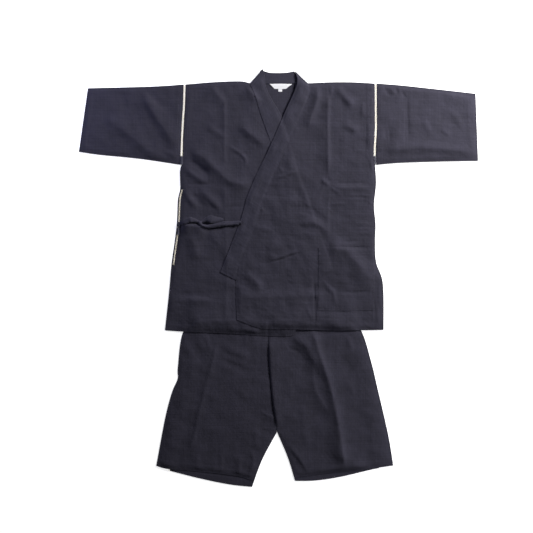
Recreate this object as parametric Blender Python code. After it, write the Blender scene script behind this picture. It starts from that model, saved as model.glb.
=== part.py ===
"""Jinbei set laid flat: a lapped jacket with open lacing at the armholes and sides, over its shorts.

Lengths here are millimetres, and the finished meshes are metres, +Z up. +Y runs from the shorts to the
collar, and +X is the wearer's left. The cloth lies in plies, the lowest first. One lattice of triangles
holds the height of the pile: each panel is cut along the lattice, set down on the pile, and added to it,
so that it bends down over every edge beneath it and stays clear of what it lies on.
"""
import math
from collections import namedtuple

import bmesh
import bpy

for old in list(bpy.data.objects):
    bpy.data.objects.remove(old)

# ---------------------------------------------------------------- driving sizes, mm
CLOTH = 1.2            # wall of one thickness of cloth
BAND = 2.2             # wall of the folded collar, waistband and ties
LACE = 1.2             # wall of the open lacing
CLEAR = 0.4            # height kept free between two plies
SEAM = 0.3             # width kept free between two pieces that are sewn side by side
CELL = 62.0            # side of the lattice's cells
LACE_WIDTH = 5.4       # across the open lacing at the armholes
SIDE_LACE_WIDTH = 4.8  # across the open lacing in the side seams
SIDE_MARGIN = 2.2      # strip of back that shows outside the side lacing
TIE_WIDTH = 12.0       # flat width of a tie
KNOT_HEIGHT = 4.0      # a tie's knot, above what it lies on
KNOT_WIDTH = 18.0      # the knot across its tie
KNOT_LENGTH = 20.0     # the knot up and down
CENTRE = -4.5          # x of the jacket's centre-back seam
OKUMI_TIP = 8.0        # length cut off an okumi's pointed top, where it is all seam
LEG_WRAP = 36.0        # width of a leg's front that turns round to the back
MM = 0.001             # metres in a millimetre

# ---------------------------------------------------------------- edges, each row a place on the edge
# Jacket, right half (at -X)        place              x       y
SHOULDER_RIGHT = (("neck",       -86.3,  584.0),
                  ("mid",       -116.0,  590.0))
ARMHOLE_RIGHT = (("top",        -281.8,  580.0),
                 ("upper",      -283.5,  520.0),
                 ("middle",     -286.5,  475.0),
                 ("lower",      -289.5,  415.0),
                 ("end",        -291.0,  366.0))
SIDE_RIGHT = (("underarm",      -290.5,  340.0),
              ("dip",           -295.5,  320.0),
              ("lacing_top",    -294.5,  270.0),
              ("chest",         -301.5,  235.0),
              ("waist",         -304.5,  169.0),
              ("hip",           -310.5,  115.0),
              ("vent_top",      -321.0,   40.0),
              ("vent",          -327.5,  -35.0),
              ("hem",           -340.5, -156.0))
OKUMI_SEAM_UNDER = (("collar",   -71.0,  549.0),
                    ("chest",   -112.0,  420.0),
                    ("waist",   -126.0,  250.0),
                    ("hem",     -124.5, -167.0))
HEM_UNDER = (("corner",         -331.5, -161.0),
             ("side",           -292.5, -160.0),
             ("seam",           -124.5, -167.0),
             ("middle",          -31.5, -173.0),
             ("front",            37.5, -173.0),
             ("turn",             52.5, -155.0))
# Jacket, left half (at +X)
SHOULDER_LEFT = (("mid",         154.5,  587.0),
                 ("neck",         88.8,  584.0))
ARMHOLE_LEFT = (("top",          291.3,  583.0),
                ("upper",        291.6,  505.0),
                ("middle",       291.5,  445.0),
                ("lower",        289.0,  400.0),
                ("end",          288.0,  366.0))
SIDE_LEFT = (("underarm",        289.5,  340.0),
             ("chest",           292.5,  283.0),
             ("dip",             286.5,  220.0),
             ("waist",           291.0,  160.0),
             ("hip",             289.5,  115.0),
             ("vent_top",        292.5,   49.0),
             ("vent",            313.0,  -17.0),
             ("hem",             315.0, -155.0))
OKUMI_SEAM_OVER = (("collar",     91.5,  550.0),
                   ("chest",     113.0,  400.0),
                   ("waist",     118.0,  250.0),
                   ("pocket",    118.5,   85.0),
                   ("low",       114.0,  -20.0),
                   ("hem",       109.5, -155.0))
HEM_OVER = (("raised",          -118.5, -127.0),
            ("rise",             -76.5, -143.0),
            ("settled",          -40.5, -152.0),
            ("middle",            49.5, -152.0),
            ("seam",             109.5, -155.0))
FRONT_EDGE_OVER = (("collar_end", -127.5,   -8.0),
                   ("middle",     -127.5,  -65.0),
                   ("hem",        -124.5, -125.0))
# The back's hem, just above the hems of the fronts
BACK_HEM = (("right",           -339.5, -150.0),
            ("left",             314.5, -150.0))
# Collar
COLLAR_SEAM_OVER = (("shoulder",  88.5,  584.0),
                    ("neck",      94.0,  570.0),
                    ("side",      91.5,  550.0),
                    ("chest",     64.5,  481.0),
                    ("cross",     13.5,  370.0),
                    ("fold",     -19.5,  295.0),
                    ("middle",   -49.5,  220.0),
                    ("tie",      -79.5,  130.0),
                    ("low",     -115.5,   49.0),
                    ("end",     -128.0,   -5.0))
COLLAR_INNER_OVER = (("end",     -174.0,   18.0),
                     ("tie",     -115.5,  168.0),
                     ("middle",   -85.5,  265.0),
                     ("cross",   -21.0,  404.0),
                     ("chest",     23.0,  505.0),
                     ("neck",      45.0,  552.0),
                     ("turn",      57.0,  590.0),
                     ("top",       49.5,  621.0))
COLLAR_SEAM_UNDER = (("shoulder", -86.0, 584.0),
                     ("side",    -71.0,  549.0),
                     ("chest",   -52.5,  490.0),
                     ("cross",   -22.5,  406.0),
                     ("fold",     12.0,  295.0),
                     ("middle",   42.0,  220.0),
                     ("tie",      72.0,  130.0),
                     ("low",     106.0,   49.0),
                     ("end",     118.0,   -5.0))
COLLAR_INNER_UNDER = (("top",    -47.0,  627.75),
                      ("turn",   -41.0,  600.0),
                      ("neck",   -37.0,  570.0),
                      ("side",   -17.0,  530.0),
                      ("chest",   10.0,  484.0),
                      ("cross",   34.0,  420.0),
                      ("fold",    66.0,  312.0),
                      ("middle",  94.0,  240.0),
                      ("tie",    124.0,  150.0),
                      ("end",    170.0,   20.0))
COLLAR_BACK = (("right",         -76.0,  584.3),
               ("left",           80.0,  584.3),
               ("left_top",       46.5,  620.0),
               ("middle",         -4.5,  615.0),
               ("right_top",     -52.5,  624.0))
# Sleeves
SLEEVE_RIGHT = (("top",         -385.5,  574.0),
                ("cuff_top",    -571.5,  569.0),
                ("cuff_low",    -598.5,  379.0),
                ("under_out",   -535.5,  370.0),
                ("under_mid",   -415.5,  358.0),
                ("underarm",    -294.0,  340.0))
SLEEVE_LEFT = (("underarm",      293.5,  340.0),
               ("under_mid",     364.5,  346.0),
               ("under_out",     484.5,  350.0),
               ("cuff_low",      598.5,  352.0),
               ("cuff_top",      591.0,  553.0),
               ("top_out",       484.5,  565.0),
               ("top",           364.5,  578.0))
# Shorts, seen from the front; the right leg is at -X
WAISTBAND = (("right_top",      -236.0,  -84.0),
             ("right_low",      -238.0, -117.7),
             ("left_low",        198.0, -117.7),
             ("left_top",        196.0,  -84.0))
OUTER_RIGHT = (("waist",        -240.0, -118.0),
               ("hip",          -286.5, -164.0),
               ("seat",         -301.5, -269.0),
               ("crook",        -302.0, -302.0),
               ("thigh",        -319.5, -344.0),
               ("knee",         -340.5, -425.0),
               ("hem",          -366.0, -563.0))
OUTER_LEFT = (("waist",          200.0, -118.0),
              ("hip",            247.5, -158.0),
              ("seat",           277.5, -251.0),
              ("thigh",          295.5, -326.0),
              ("knee",           328.5, -470.0),
              ("hem",            343.5, -562.0))
CENTRE_SEAM = (("waist",         -26.0, -118.0),
               ("fly",           -31.5, -215.0),
               ("seat",          -25.5, -305.0),
               ("low",           -18.0, -380.0),
               ("crotch",         -4.5, -461.0))
INNER_RIGHT = (("crotch",         -4.5, -461.0),
               ("thigh",         -49.5, -545.0),
               ("hem",           -79.5, -626.0))
INNER_LEFT = (("crotch",          -4.5, -461.0),
              ("thigh",           28.5, -539.0),
              ("hem",             49.5, -608.0))
HEM_FRONT_RIGHT = (("inner",     -82.0, -606.0),
                   ("turn",     -124.5, -593.0),
                   ("middle",   -235.5, -580.0),
                   ("outer",    -331.5, -572.0))
HEM_BACK_RIGHT = (("inner",      -82.5, -627.75),
                  ("middle",    -145.5, -619.0),
                  ("outer",     -325.5, -578.0))
HEM_FRONT_LEFT = (("outer",      244.5, -575.0),
                  ("middle",     154.5, -584.0),
                  ("inner",       64.5, -596.0))
HEM_BACK_LEFT = (("outer",       274.5, -575.0),
                 ("middle",      184.5, -596.0),
                 ("turn",        109.5, -607.0))
# Hems of the fronts' strips that turn round to the back, and of the lacing beside them
HEM_TURNED = (("strip_right",   -331.0, -572.0),
              ("lace_right",    -328.2, -572.5),
              ("strip_left",     308.5, -567.0),
              ("lace_left",      304.0, -568.0))
# Pocket, label and tie: outlines and centre lines
POCKET = (("top_front",          120.0,   92.0),
          ("top_side",           287.0,   92.0),
          ("low_side",           287.0,  -97.0),
          ("low_front",          118.0,  -97.0))
LABEL = (("top_right",           -25.5,  582.0),
         ("low_right",           -12.0,  568.0),
         ("low_left",             22.5,  568.0),
         ("top_left",             40.5,  582.0))
SIZE_TAB = (("top_right",         -0.5,  571.0),
            ("low_right",         -0.5,  560.0),
            ("low_left",          10.5,  560.0),
            ("top_left",          10.5,  571.0))
TIE_FRONT = (("collar",         -108.0,  168.0),
             ("middle",         -155.0,  168.0),
             ("slack",          -195.0,  166.0),
             ("knot",           -228.0,  167.0))
TIE_FRONT_LOOP = (("knot",      -229.0,  172.0),
                  ("rise",      -203.0,  184.0),
                  ("tip",       -168.0,  179.0))
TIE_SIDE = (("seam",            -300.0,  166.0),
            ("rise",            -270.0,  177.0),
            ("knot",            -240.0,  170.0))
TIE_SIDE_LOOP = (("knot",       -233.0,  165.0),
                 ("fall",       -218.0,  152.0),
                 ("middle",     -180.0,  153.0),
                 ("tip",        -134.0,  158.0))
KNOT = ("knot",                 -235.0,  167.0)
# Soft folds, each a low ridge in the upper plies: start, end, reach to each side, and height
Fold = namedtuple("Fold", "name x0 y0 x1 y1 reach height")
CHEST_FOLDS = (Fold("right_chest_long", -265.0, 360.0, -150.0, 280.0, 40.0, 2.6),
               Fold("right_chest_high", -100.0, 490.0,  -35.0, 390.0, 36.0, 2.0),
               Fold("right_waist",      -285.0, 270.0, -225.0, 180.0, 36.0, 2.2))
BODY_FOLDS = (Fold("waist",             -60.0, 265.0,  270.0, 275.0, 34.0, 1.8),
              Fold("left_chest",        150.0, 560.0,  170.0, 300.0, 36.0, 1.6))
LEG_FOLDS = (Fold("left_leg_crease",    115.0, -170.0, 195.0, -560.0, 38.0, 2.6),
             Fold("right_leg_crease",  -180.0, -190.0, -245.0, -480.0, 36.0, 1.2))

# Colours: linear base colour and roughness of each cloth
Finish = namedtuple("Finish", "name colour roughness")
NAVY = Finish("navy_cotton", (0.032, 0.031, 0.046), 0.92)
NAVY_BAND = Finish("navy_band", (0.030, 0.030, 0.044), 0.9)
CREAM = Finish("cream_lacing", (0.80, 0.72, 0.58), 0.85)
WHITE = Finish("label_white", (0.62, 0.62, 0.64), 0.8)


# ---------------------------------------------------------------- edges and outlines
def edge(table, first=None, last=None):
    """The x, y points of a table's rows, or of those from one named place to another."""
    places = [row[0] for row in table]
    start = places.index(first) if first else 0
    stop = places.index(last) + 1 if last else len(table)
    return [(row[1], row[2]) for row in table[start:stop]]


def curved(points, steps=2):
    """A Catmull-Rom curve through the points, with this many steps from each to the next."""
    ends = [points[0], *points, points[-1]]
    curve = []
    for p0, p1, p2, p3 in zip(ends, ends[1:], ends[2:], ends[3:]):
        for step in range(steps):
            t = step / steps
            curve.append(tuple(
                0.5 * (2 * b + (c - a) * t + (2 * a - 5 * b + 4 * c - d) * t * t
                       + (3 * b - a - 3 * c + d) * t ** 3)
                for a, b, c, d in zip(p0, p1, p2, p3)))
    return curve + [points[-1]]


def beside(points, distance):
    """The line that runs beside a line, this far to its left as one walks along it."""
    line = []
    for i, (x, y) in enumerate(points):
        (ax, ay), (bx, by) = points[max(i - 1, 0)], points[min(i + 1, len(points) - 1)]
        length = math.hypot(bx - ax, by - ay)
        line.append((x - (by - ay) / length * distance, y + (bx - ax) / length * distance))
    return line


def across(points, dx):
    """A line moved sideways by dx."""
    return [(x + dx, y) for x, y in points]


def shorten(points, length):
    """A line without this much of its start."""
    (ax, ay), (bx, by) = points[:2]
    part = length / math.dist(points[0], points[1])
    return [(ax + (bx - ax) * part, ay + (by - ay) * part)] + points[1:]


def strip(points, width):
    """The outline of a flat strip of this width along a line."""
    return beside(points, -width / 2) + beside(points, width / 2)[::-1]


def lace_strip(line, width):
    """The outline of open lacing down a seam: as wide, sideways, at every height."""
    return across(line, -width / 2) + across(line, width / 2)[::-1]


def ring(*runs):
    """One closed outline from runs of points, each beginning where the last one ends or near it."""
    outline = []
    for run in runs:
        for point in run:
            if not outline or math.dist(point, outline[-1]) > 0.05:
                outline.append(point)
    if math.dist(outline[0], outline[-1]) < 0.05:
        outline.pop()
    area = sum(ax * by - bx * ay for (ax, ay), (bx, by) in zip(outline, outline[1:] + outline[:1]))
    return outline if area > 0 else outline[::-1]


# ---------------------------------------------------------------- the pile
pile = {}              # height of the pile at each lattice corner, mm


def lattice_triangle(x, y):
    """The corners of the lattice triangle around a point, with the point's weight on each."""
    i, j = math.floor(x / CELL), math.floor(y / CELL)
    a, b = x / CELL - i, y / CELL - j
    if a >= b:
        return (((i, j), 1 - a), ((i + 1, j), a - b), ((i + 1, j + 1), b))
    return (((i, j), 1 - b), ((i + 1, j + 1), a), ((i, j + 1), b - a))


def height(base, x, y):
    """Height of the pile at a point, flat across each lattice triangle."""
    return sum(base.get(corner, 0.0) * weight for corner, weight in lattice_triangle(x, y))


def raise_folds(folds):
    """Lift the pile along soft ridges, so that the plies laid next carry them."""
    for fold in folds:
        dx, dy = fold.x1 - fold.x0, fold.y1 - fold.y0
        reach_i = range(math.floor((min(fold.x0, fold.x1) - fold.reach) / CELL),
                        math.ceil((max(fold.x0, fold.x1) + fold.reach) / CELL) + 1)
        reach_j = range(math.floor((min(fold.y0, fold.y1) - fold.reach) / CELL),
                        math.ceil((max(fold.y0, fold.y1) + fold.reach) / CELL) + 1)
        for i in reach_i:
            for j in reach_j:
                x, y = i * CELL - fold.x0, j * CELL - fold.y0
                along = min(max((x * dx + y * dy) / (dx * dx + dy * dy), 0.0), 1.0)
                away = math.hypot(x - along * dx, y - along * dy) / fold.reach
                if away < 1:
                    lift = fold.height * (0.5 + 0.5 * math.cos(math.pi * away))
                    pile[(i, j)] = pile.get((i, j), 0.0) + lift


# A turned edge: its line, and the line one wall inside it where the hollow between the layers begins
Turn = namedtuple("Turn", "line inset")


def turned(outline, line, wall=CLOTH):
    """The turned edge along one run of an outline, its inset ending on the outline's next edges."""
    start = outline.index(line[0])
    if outline[(start + 1) % len(outline)] != line[1]:
        line = line[::-1]
        start = outline.index(line[0])
    inset = beside(line, wall)
    next_points = (outline[start - 1], outline[(start + len(line)) % len(outline)])
    for end, outer in zip((0, -1), next_points):
        corner, lean = line[end], math.dist(line[end], outer)
        ex, ey = (outer[0] - corner[0]) / lean, (outer[1] - corner[1]) / lean
        fx, fy = inset[end][0] - corner[0], inset[end][1] - corner[1]
        reach = wall ** 2 / (ex * fx + ey * fy)
        inset[end] = (corner[0] + ex * reach, corner[1] + ey * reach)
    return Turn(line, inset)


def off_line(point, start, end):
    """Whether a point stands clear of the line through two others."""
    dx, dy = end[0] - start[0], end[1] - start[1]
    return abs((point[0] - start[0]) * dy - (point[1] - start[1]) * dx) / math.hypot(dx, dy) > 0.25


class Layer:
    """One thickness of a piece: its outline, its wall, and its turned edges."""

    def __init__(self, piece, outline, wall=CLOTH, turns=()):
        self.piece, self.outline, self.wall, self.turns = piece, outline, wall, turns

    def polygons(self):
        """The part inside the turned edges, then the strip along each of them."""
        inside, strips = list(self.outline), []
        for line, inset in self.turns:
            start = inside.index(line[0])
            inside = inside[start:] + inside[:start]
            head = line[:1] if off_line(inset[0], line[0], inside[-1]) else []
            tail = line[-1:] if off_line(inset[-1], line[-1], inside[len(line)]) else []
            inside[:len(line)] = head + inset + tail
            strips.append(line + inset[::-1])
        return [inside] + strips

    def cut(self):
        """Cut the layer's polygons along the lattice's lines into flat facets."""
        flat, corners = bmesh.new(), {}
        for index, polygon in enumerate(self.polygons()):
            for point in polygon:
                if point not in corners:
                    corners[point] = flat.verts.new((*point, 0.0))
            flat.faces.new([corners[point] for point in polygon]).material_index = min(index, 1)
        for nx, ny in ((1, 0), (0, 1), (1, -1)):
            spread = [(v.co.x * nx + v.co.y * ny) / CELL for v in flat.verts]
            for line in range(math.ceil(min(spread)), math.floor(max(spread)) + 1):
                # the point on the line nearest the lattice's origin
                size = nx * nx + ny * ny
                on_line = (line * CELL * nx / size, line * CELL * ny / size, 0.0)
                bmesh.ops.bisect_plane(flat, geom=flat.verts[:] + flat.edges[:] + flat.faces[:],
                                       dist=0.02, plane_co=on_line, plane_no=(nx, ny, 0.0))
        self.facets = flat


def lay(*layers):
    """Set one ply down on the pile as it is, then add all of its layers to the pile."""
    base, added = dict(pile), {}
    for layer in layers:
        layer.cut()
        layer.base = base
        for face in layer.facets.faces:
            centre = face.calc_center_median()
            for corner, _ in lattice_triangle(centre.x, centre.y):
                added[corner] = max(added.get(corner, 0.0), layer.wall + CLEAR)
        stacks.setdefault(layer.piece, []).append(layer)
    for corner, rise in added.items():
        pile[corner] = base.get(corner, 0.0) + rise


stacks = {}            # each piece's layers, the lowest first


# ---------------------------------------------------------------- solids
def build_piece(name, finish):
    """Close a piece's layers into one solid: skins, walls at cut edges, and the turned edges."""
    solid, skins = bmesh.new(), []
    for layer in stacks[name]:
        low, high = {}, {}
        for v in layer.facets.verts:
            z = height(layer.base, v.co.x, v.co.y)
            low[v] = solid.verts.new((v.co.x, v.co.y, z))
            high[v] = solid.verts.new((v.co.x, v.co.y, z + layer.wall))
        skins.append((low, high))
    for number, (layer, (low, high)) in enumerate(zip(stacks[name], skins)):
        for face in layer.facets.faces:
            turned_over = face.material_index == 1
            if not (turned_over and number == 1):
                solid.faces.new([low[v] for v in reversed(face.verts)])
            if not (turned_over and number == 0):
                solid.faces.new([high[v] for v in face.verts])
        for line in layer.facets.edges:
            if [face.material_index for face in line.link_faces] == [0]:
                a, b = line.verts
                solid.faces.new((low[a], low[b], high[b], high[a]))
    if len(skins) == 2:
        join_turned_edges(solid, *stacks[name], *skins)
    bmesh.ops.delete(solid, geom=[v for v in solid.verts if not v.link_faces], context="VERTS")
    bmesh.ops.recalc_face_normals(solid, faces=solid.faces[:])
    bmesh.ops.triangulate(solid, faces=solid.faces[:])
    bmesh.ops.scale(solid, vec=(MM, MM, MM), verts=solid.verts[:])
    mesh = bpy.data.meshes.new(name)
    solid.to_mesh(mesh)
    solid.free()
    mesh.materials.append(cloth_material(finish))
    bpy.context.collection.objects.link(bpy.data.objects.new(name, mesh))


def join_turned_edges(solid, lower, upper, lower_skin, upper_skin):
    """Walls between two layers of a piece, round the strips in which one turns over into the other."""
    def on_strip(layer):
        return [v for v in layer.facets.verts if any(f.material_index == 1 for f in v.link_faces)]

    def on_inside(corner):
        return any(face.material_index == 0 for face in corner.link_faces)

    others = on_strip(upper)
    pair = {v: min(others, key=lambda o: (o.co - v.co).length_squared) for v in on_strip(lower)}
    upper_edges = {frozenset(line.verts): line for line in upper.facets.edges}

    def rising(corner, start, end):
        """The points above each other at a corner, from one of the four levels to another."""
        above = pair[corner]
        levels = (lower_skin[0][corner], lower_skin[1][corner], upper_skin[0][above], upper_skin[1][above])
        used = (True, on_inside(corner), on_inside(above), True)
        return [levels[n] for n in range(start, end + 1) if used[n] or n in (start, end)]

    for line in lower.facets.edges:
        kinds = sorted(face.material_index for face in line.link_faces)
        if 1 not in kinds or kinds == [1, 1]:
            continue
        a, b = line.verts
        partner = upper_edges[frozenset((pair[a], pair[b]))]
        start = 1 if kinds == [0, 1] else 0
        end = 2 if len(partner.link_faces) == 2 else 3
        solid.faces.new(rising(a, start, end) + rising(b, start, end)[::-1])


def cloth_material(finish):
    """The cloth's colour and roughness, made once for each finish."""
    material = bpy.data.materials.get(finish.name)
    if material is None:
        material = bpy.data.materials.new(finish.name)
        material.use_nodes = True
        shader = material.node_tree.nodes["Principled BSDF"]
        shader.inputs["Base Color"].default_value = (*finish.colour, 1.0)
        shader.inputs["Roughness"].default_value = finish.roughness
        shader.inputs["Metallic"].default_value = 0.0
    return material


# ---------------------------------------------------------------- the lay, from the floor up
# Lines that several pieces share
half_lace = LACE_WIDTH / 2
half_seam = SEAM / 2
side_lace_in = SIDE_MARGIN + SIDE_LACE_WIDTH / 2
side_cloth_in = SIDE_MARGIN + SIDE_LACE_WIDTH + SEAM
armhole_right = curved(edge(ARMHOLE_RIGHT))
armhole_left = curved(edge(ARMHOLE_LEFT))
body_armhole_right = across(armhole_right, half_lace + SEAM)
body_armhole_left = across(armhole_left, -half_lace - SEAM)
shoulder_right = edge(SHOULDER_RIGHT) + body_armhole_right[:1]
shoulder_left = body_armhole_left[:1] + edge(SHOULDER_LEFT)
laced_side_right = curved(edge(SIDE_RIGHT, "lacing_top", "vent_top"))
laced_side_left = curved(edge(SIDE_LEFT, "chest", "vent_top"))
collar_seam_over = curved(edge(COLLAR_SEAM_OVER))
collar_seam_under = curved(edge(COLLAR_SEAM_UNDER))
okumi_seam_over = curved(edge(OKUMI_SEAM_OVER))
okumi_seam_under = curved(edge(OKUMI_SEAM_UNDER))
outer_right = curved(edge(OUTER_RIGHT))
outer_left = curved(edge(OUTER_LEFT))
centre_seam = curved(edge(CENTRE_SEAM))
inner_right = curved(edge(INNER_RIGHT))[1:]
inner_left = curved(edge(INNER_LEFT))[1:]

# Shorts: backs, with the fronts' turned strips and the side lacing outside them, then the fronts
band_outline = ring(edge(WAISTBAND))
band_turns = [turned(band_outline, edge(WAISTBAND, "right_top", "right_low"), BAND),
              turned(band_outline, edge(WAISTBAND, "left_low", "left_top"), BAND)]
front_right = ring(outer_right, edge(HEM_FRONT_RIGHT)[::-1], inner_right[-2::-1],
                   across(centre_seam, -half_seam)[::-1])
front_left = ring(outer_left, edge(HEM_FRONT_LEFT), inner_left[-2::-1],
                  across(centre_seam, half_seam)[::-1])
turn_right, turn_left = [turned(front_right, outer_right)], [turned(front_left, outer_left)]
wrap_right, wrap_left = across(outer_right, LEG_WRAP), across(outer_left, -LEG_WRAP)
lace_in = LEG_WRAP + SEAM + SIDE_LACE_WIDTH / 2
back_in = LEG_WRAP + 2 * SEAM + SIDE_LACE_WIDTH
strip_hem_right, lace_hem_right, strip_hem_left, lace_hem_left = edge(HEM_TURNED)
lay(Layer("waistband", band_outline, BAND, band_turns),
    Layer("leg_front_right", ring(outer_right, [strip_hem_right], wrap_right[-2::-1]), CLOTH, turn_right),
    Layer("leg_front_left", ring(outer_left, [strip_hem_left], wrap_left[-2::-1]), CLOTH, turn_left),
    Layer("leg_lacing_right", lace_strip(across(outer_right, lace_in)[:-1] + [lace_hem_right],
                                         SIDE_LACE_WIDTH), LACE),
    Layer("leg_lacing_left", lace_strip(across(outer_left, -lace_in)[:-1] + [lace_hem_left],
                                        SIDE_LACE_WIDTH), LACE),
    Layer("leg_back_right", ring(across(outer_right, back_in)[:-1], edge(HEM_BACK_RIGHT)[::-1],
                                 inner_right[-2::-1], across(centre_seam, -half_seam)[::-1])),
    Layer("leg_back_left", ring(across(outer_left, -back_in)[:-1], edge(HEM_BACK_LEFT),
                                inner_left[::-1], across(centre_seam, half_seam)[::-1])))
raise_folds(LEG_FOLDS)
lay(Layer("waistband", band_outline, BAND, band_turns),
    Layer("leg_front_right", front_right, CLOTH, turn_right),
    Layer("leg_front_left", front_left, CLOTH, turn_left))

# Jacket outlines: each body width has a back and a front, which turn into each other at the shoulder
neck_y = SHOULDER_RIGHT[0][2]
hem_right, hem_left = edge(BACK_HEM)
half_back_right = ring(shoulder_right, body_armhole_right, edge(SIDE_RIGHT, "underarm", "vent"),
                       [hem_right, (CENTRE - half_seam, hem_right[1]), (CENTRE - half_seam, neck_y)])
half_back_left = ring(shoulder_left, [(CENTRE + half_seam, neck_y), (CENTRE + half_seam, hem_left[1]),
                                      hem_left], edge(SIDE_LEFT, "vent", "vent"),
                      across(laced_side_left, -side_cloth_in)[::-1],
                      edge(SIDE_LEFT, "underarm", "underarm"), body_armhole_left[::-1])
half_front_right = ring(shoulder_right, body_armhole_right, edge(SIDE_RIGHT, "underarm", "dip"),
                        across(laced_side_right, side_cloth_in), edge(SIDE_RIGHT, "vent", "hem"),
                        edge(HEM_UNDER, "corner", "side"), across(okumi_seam_under, -half_seam)[::-1],
                        across(collar_seam_under[:2], -SEAM)[::-1])
half_front_left = ring(shoulder_left, across(collar_seam_over[:5], SEAM)[1:],
                       across(okumi_seam_over, half_seam)[1:], edge(SIDE_LEFT)[::-1],
                       body_armhole_left[::-1])
shoulder_turn_right = [turned(half_front_right, shoulder_right)]
shoulder_turn_left = [turned(half_front_left, shoulder_left)]
sleeve_edge_right = across(armhole_right, -half_lace - SEAM)
sleeve_edge_left = across(armhole_left, half_lace + SEAM)
sleeve_right = ring(sleeve_edge_right, edge(SLEEVE_RIGHT)[::-1])
sleeve_left = ring(sleeve_edge_left, edge(SLEEVE_LEFT))
sleeve_turn_right = [turned(sleeve_right, [sleeve_edge_right[0], *edge(SLEEVE_RIGHT, "top", "cuff_top")])]
sleeve_turn_left = [turned(sleeve_left, [*edge(SLEEVE_LEFT, "cuff_top", "top"), sleeve_edge_left[0]])]
lace_right = ring(lace_strip(armhole_right, LACE_WIDTH))
lace_left = ring(lace_strip(armhole_left, LACE_WIDTH))
lace_turn_right = [turned(lace_right, lace_strip(armhole_right[:1], LACE_WIDTH), LACE)]
lace_turn_left = [turned(lace_left, lace_strip(armhole_left[:1], LACE_WIDTH), LACE)]

# Jacket back: body widths, the sleeves' backs, the backs of the lacing, and the collar's back
lay(Layer("jacket_body_right", half_back_right, CLOTH, shoulder_turn_right),
    Layer("jacket_body_left", half_back_left, CLOTH, shoulder_turn_left),
    Layer("lacing_side_left", lace_strip(across(laced_side_left, -side_lace_in), SIDE_LACE_WIDTH), LACE),
    Layer("sleeve_right", sleeve_right, CLOTH, sleeve_turn_right),
    Layer("sleeve_left", sleeve_left, CLOTH, sleeve_turn_left),
    Layer("lacing_armhole_right", lace_right, LACE, lace_turn_right),
    Layer("lacing_armhole_left", lace_left, LACE, lace_turn_left),
    Layer("collar_back", ring(edge(COLLAR_BACK)), BAND))
lay(Layer("neck_label", ring(edge(LABEL))))
lay(Layer("size_tab", ring(edge(SIZE_TAB))))

# The right front, which laps under, with its okumi, collar, sleeve front and lacing
raise_folds(CHEST_FOLDS)
lay(Layer("jacket_body_right", half_front_right, CLOTH, shoulder_turn_right),
    Layer("okumi_under",
          ring(shorten(across(okumi_seam_under, half_seam), OKUMI_TIP), edge(HEM_UNDER, "middle", "turn"),
               shorten(across(collar_seam_under[2:], -SEAM), OKUMI_TIP)[::-1])),
    Layer("collar_under", ring(collar_seam_under, edge(COLLAR_INNER_UNDER)[::-1]), BAND),
    Layer("lacing_side_right", lace_strip(across(laced_side_right, side_lace_in), SIDE_LACE_WIDTH), LACE),
    Layer("sleeve_right", sleeve_right, CLOTH, sleeve_turn_right),
    Layer("lacing_armhole_right", lace_right, LACE, lace_turn_right))

# The left front, which laps over, with its okumi, collar, sleeve front and lacing
raise_folds(BODY_FOLDS)
lay(Layer("jacket_body_left", half_front_left, CLOTH, shoulder_turn_left),
    Layer("okumi_over",
          ring(shorten(across(okumi_seam_over, -half_seam), OKUMI_TIP)[:-1], edge(HEM_OVER)[::-1],
               edge(FRONT_EDGE_OVER)[::-1], shorten(across(collar_seam_over[4:], SEAM), OKUMI_TIP)[::-1])),
    Layer("collar_over", ring(collar_seam_over, curved(edge(COLLAR_INNER_OVER))), BAND),
    Layer("sleeve_left", sleeve_left, CLOTH, sleeve_turn_left),
    Layer("lacing_armhole_left", lace_left, LACE, lace_turn_left))
lay(Layer("pocket", ring(edge(POCKET))))

# The tie: two bands, a loop of each, and the knot over them
lay(Layer("tie_front", strip(curved(edge(TIE_FRONT)), TIE_WIDTH), BAND),
    Layer("tie_side", strip(curved(edge(TIE_SIDE))[:-1], TIE_WIDTH), BAND))
lay(Layer("tie_front_loop", strip(curved(edge(TIE_FRONT_LOOP)), TIE_WIDTH), BAND),
    Layer("tie_side_loop", strip(curved(edge(TIE_SIDE_LOOP)), TIE_WIDTH), BAND))
knot_points = [(KNOT[1] + KNOT_WIDTH / 2 * math.cos(turn * math.pi / 4),
                KNOT[2] + KNOT_LENGTH / 2 * math.sin(turn * math.pi / 4)) for turn in range(8)]
lay(Layer("tie_knot", knot_points, KNOT_HEIGHT))

FINISHES = {"collar": NAVY_BAND, "waistband": NAVY_BAND, "tie": NAVY_BAND, "lacing": CREAM,
            "leg_lacing": CREAM, "neck_label": WHITE, "size_tab": WHITE}
for piece in stacks:
    named = [finish for start, finish in FINISHES.items() if piece.startswith(start)]
    build_piece(piece, named[0] if named else NAVY)
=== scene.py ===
"""A jinbei set laid flat: a lapped jacket over its shorts, in navy slub cotton with cream ladder lace.

Tables and shapes are in millimetres, and every mesh is written in metres. +Y is up the garment and +X is
the wearer's left. The pieces are made in the order in which they lie, the lowest first.
"""
import math

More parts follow.
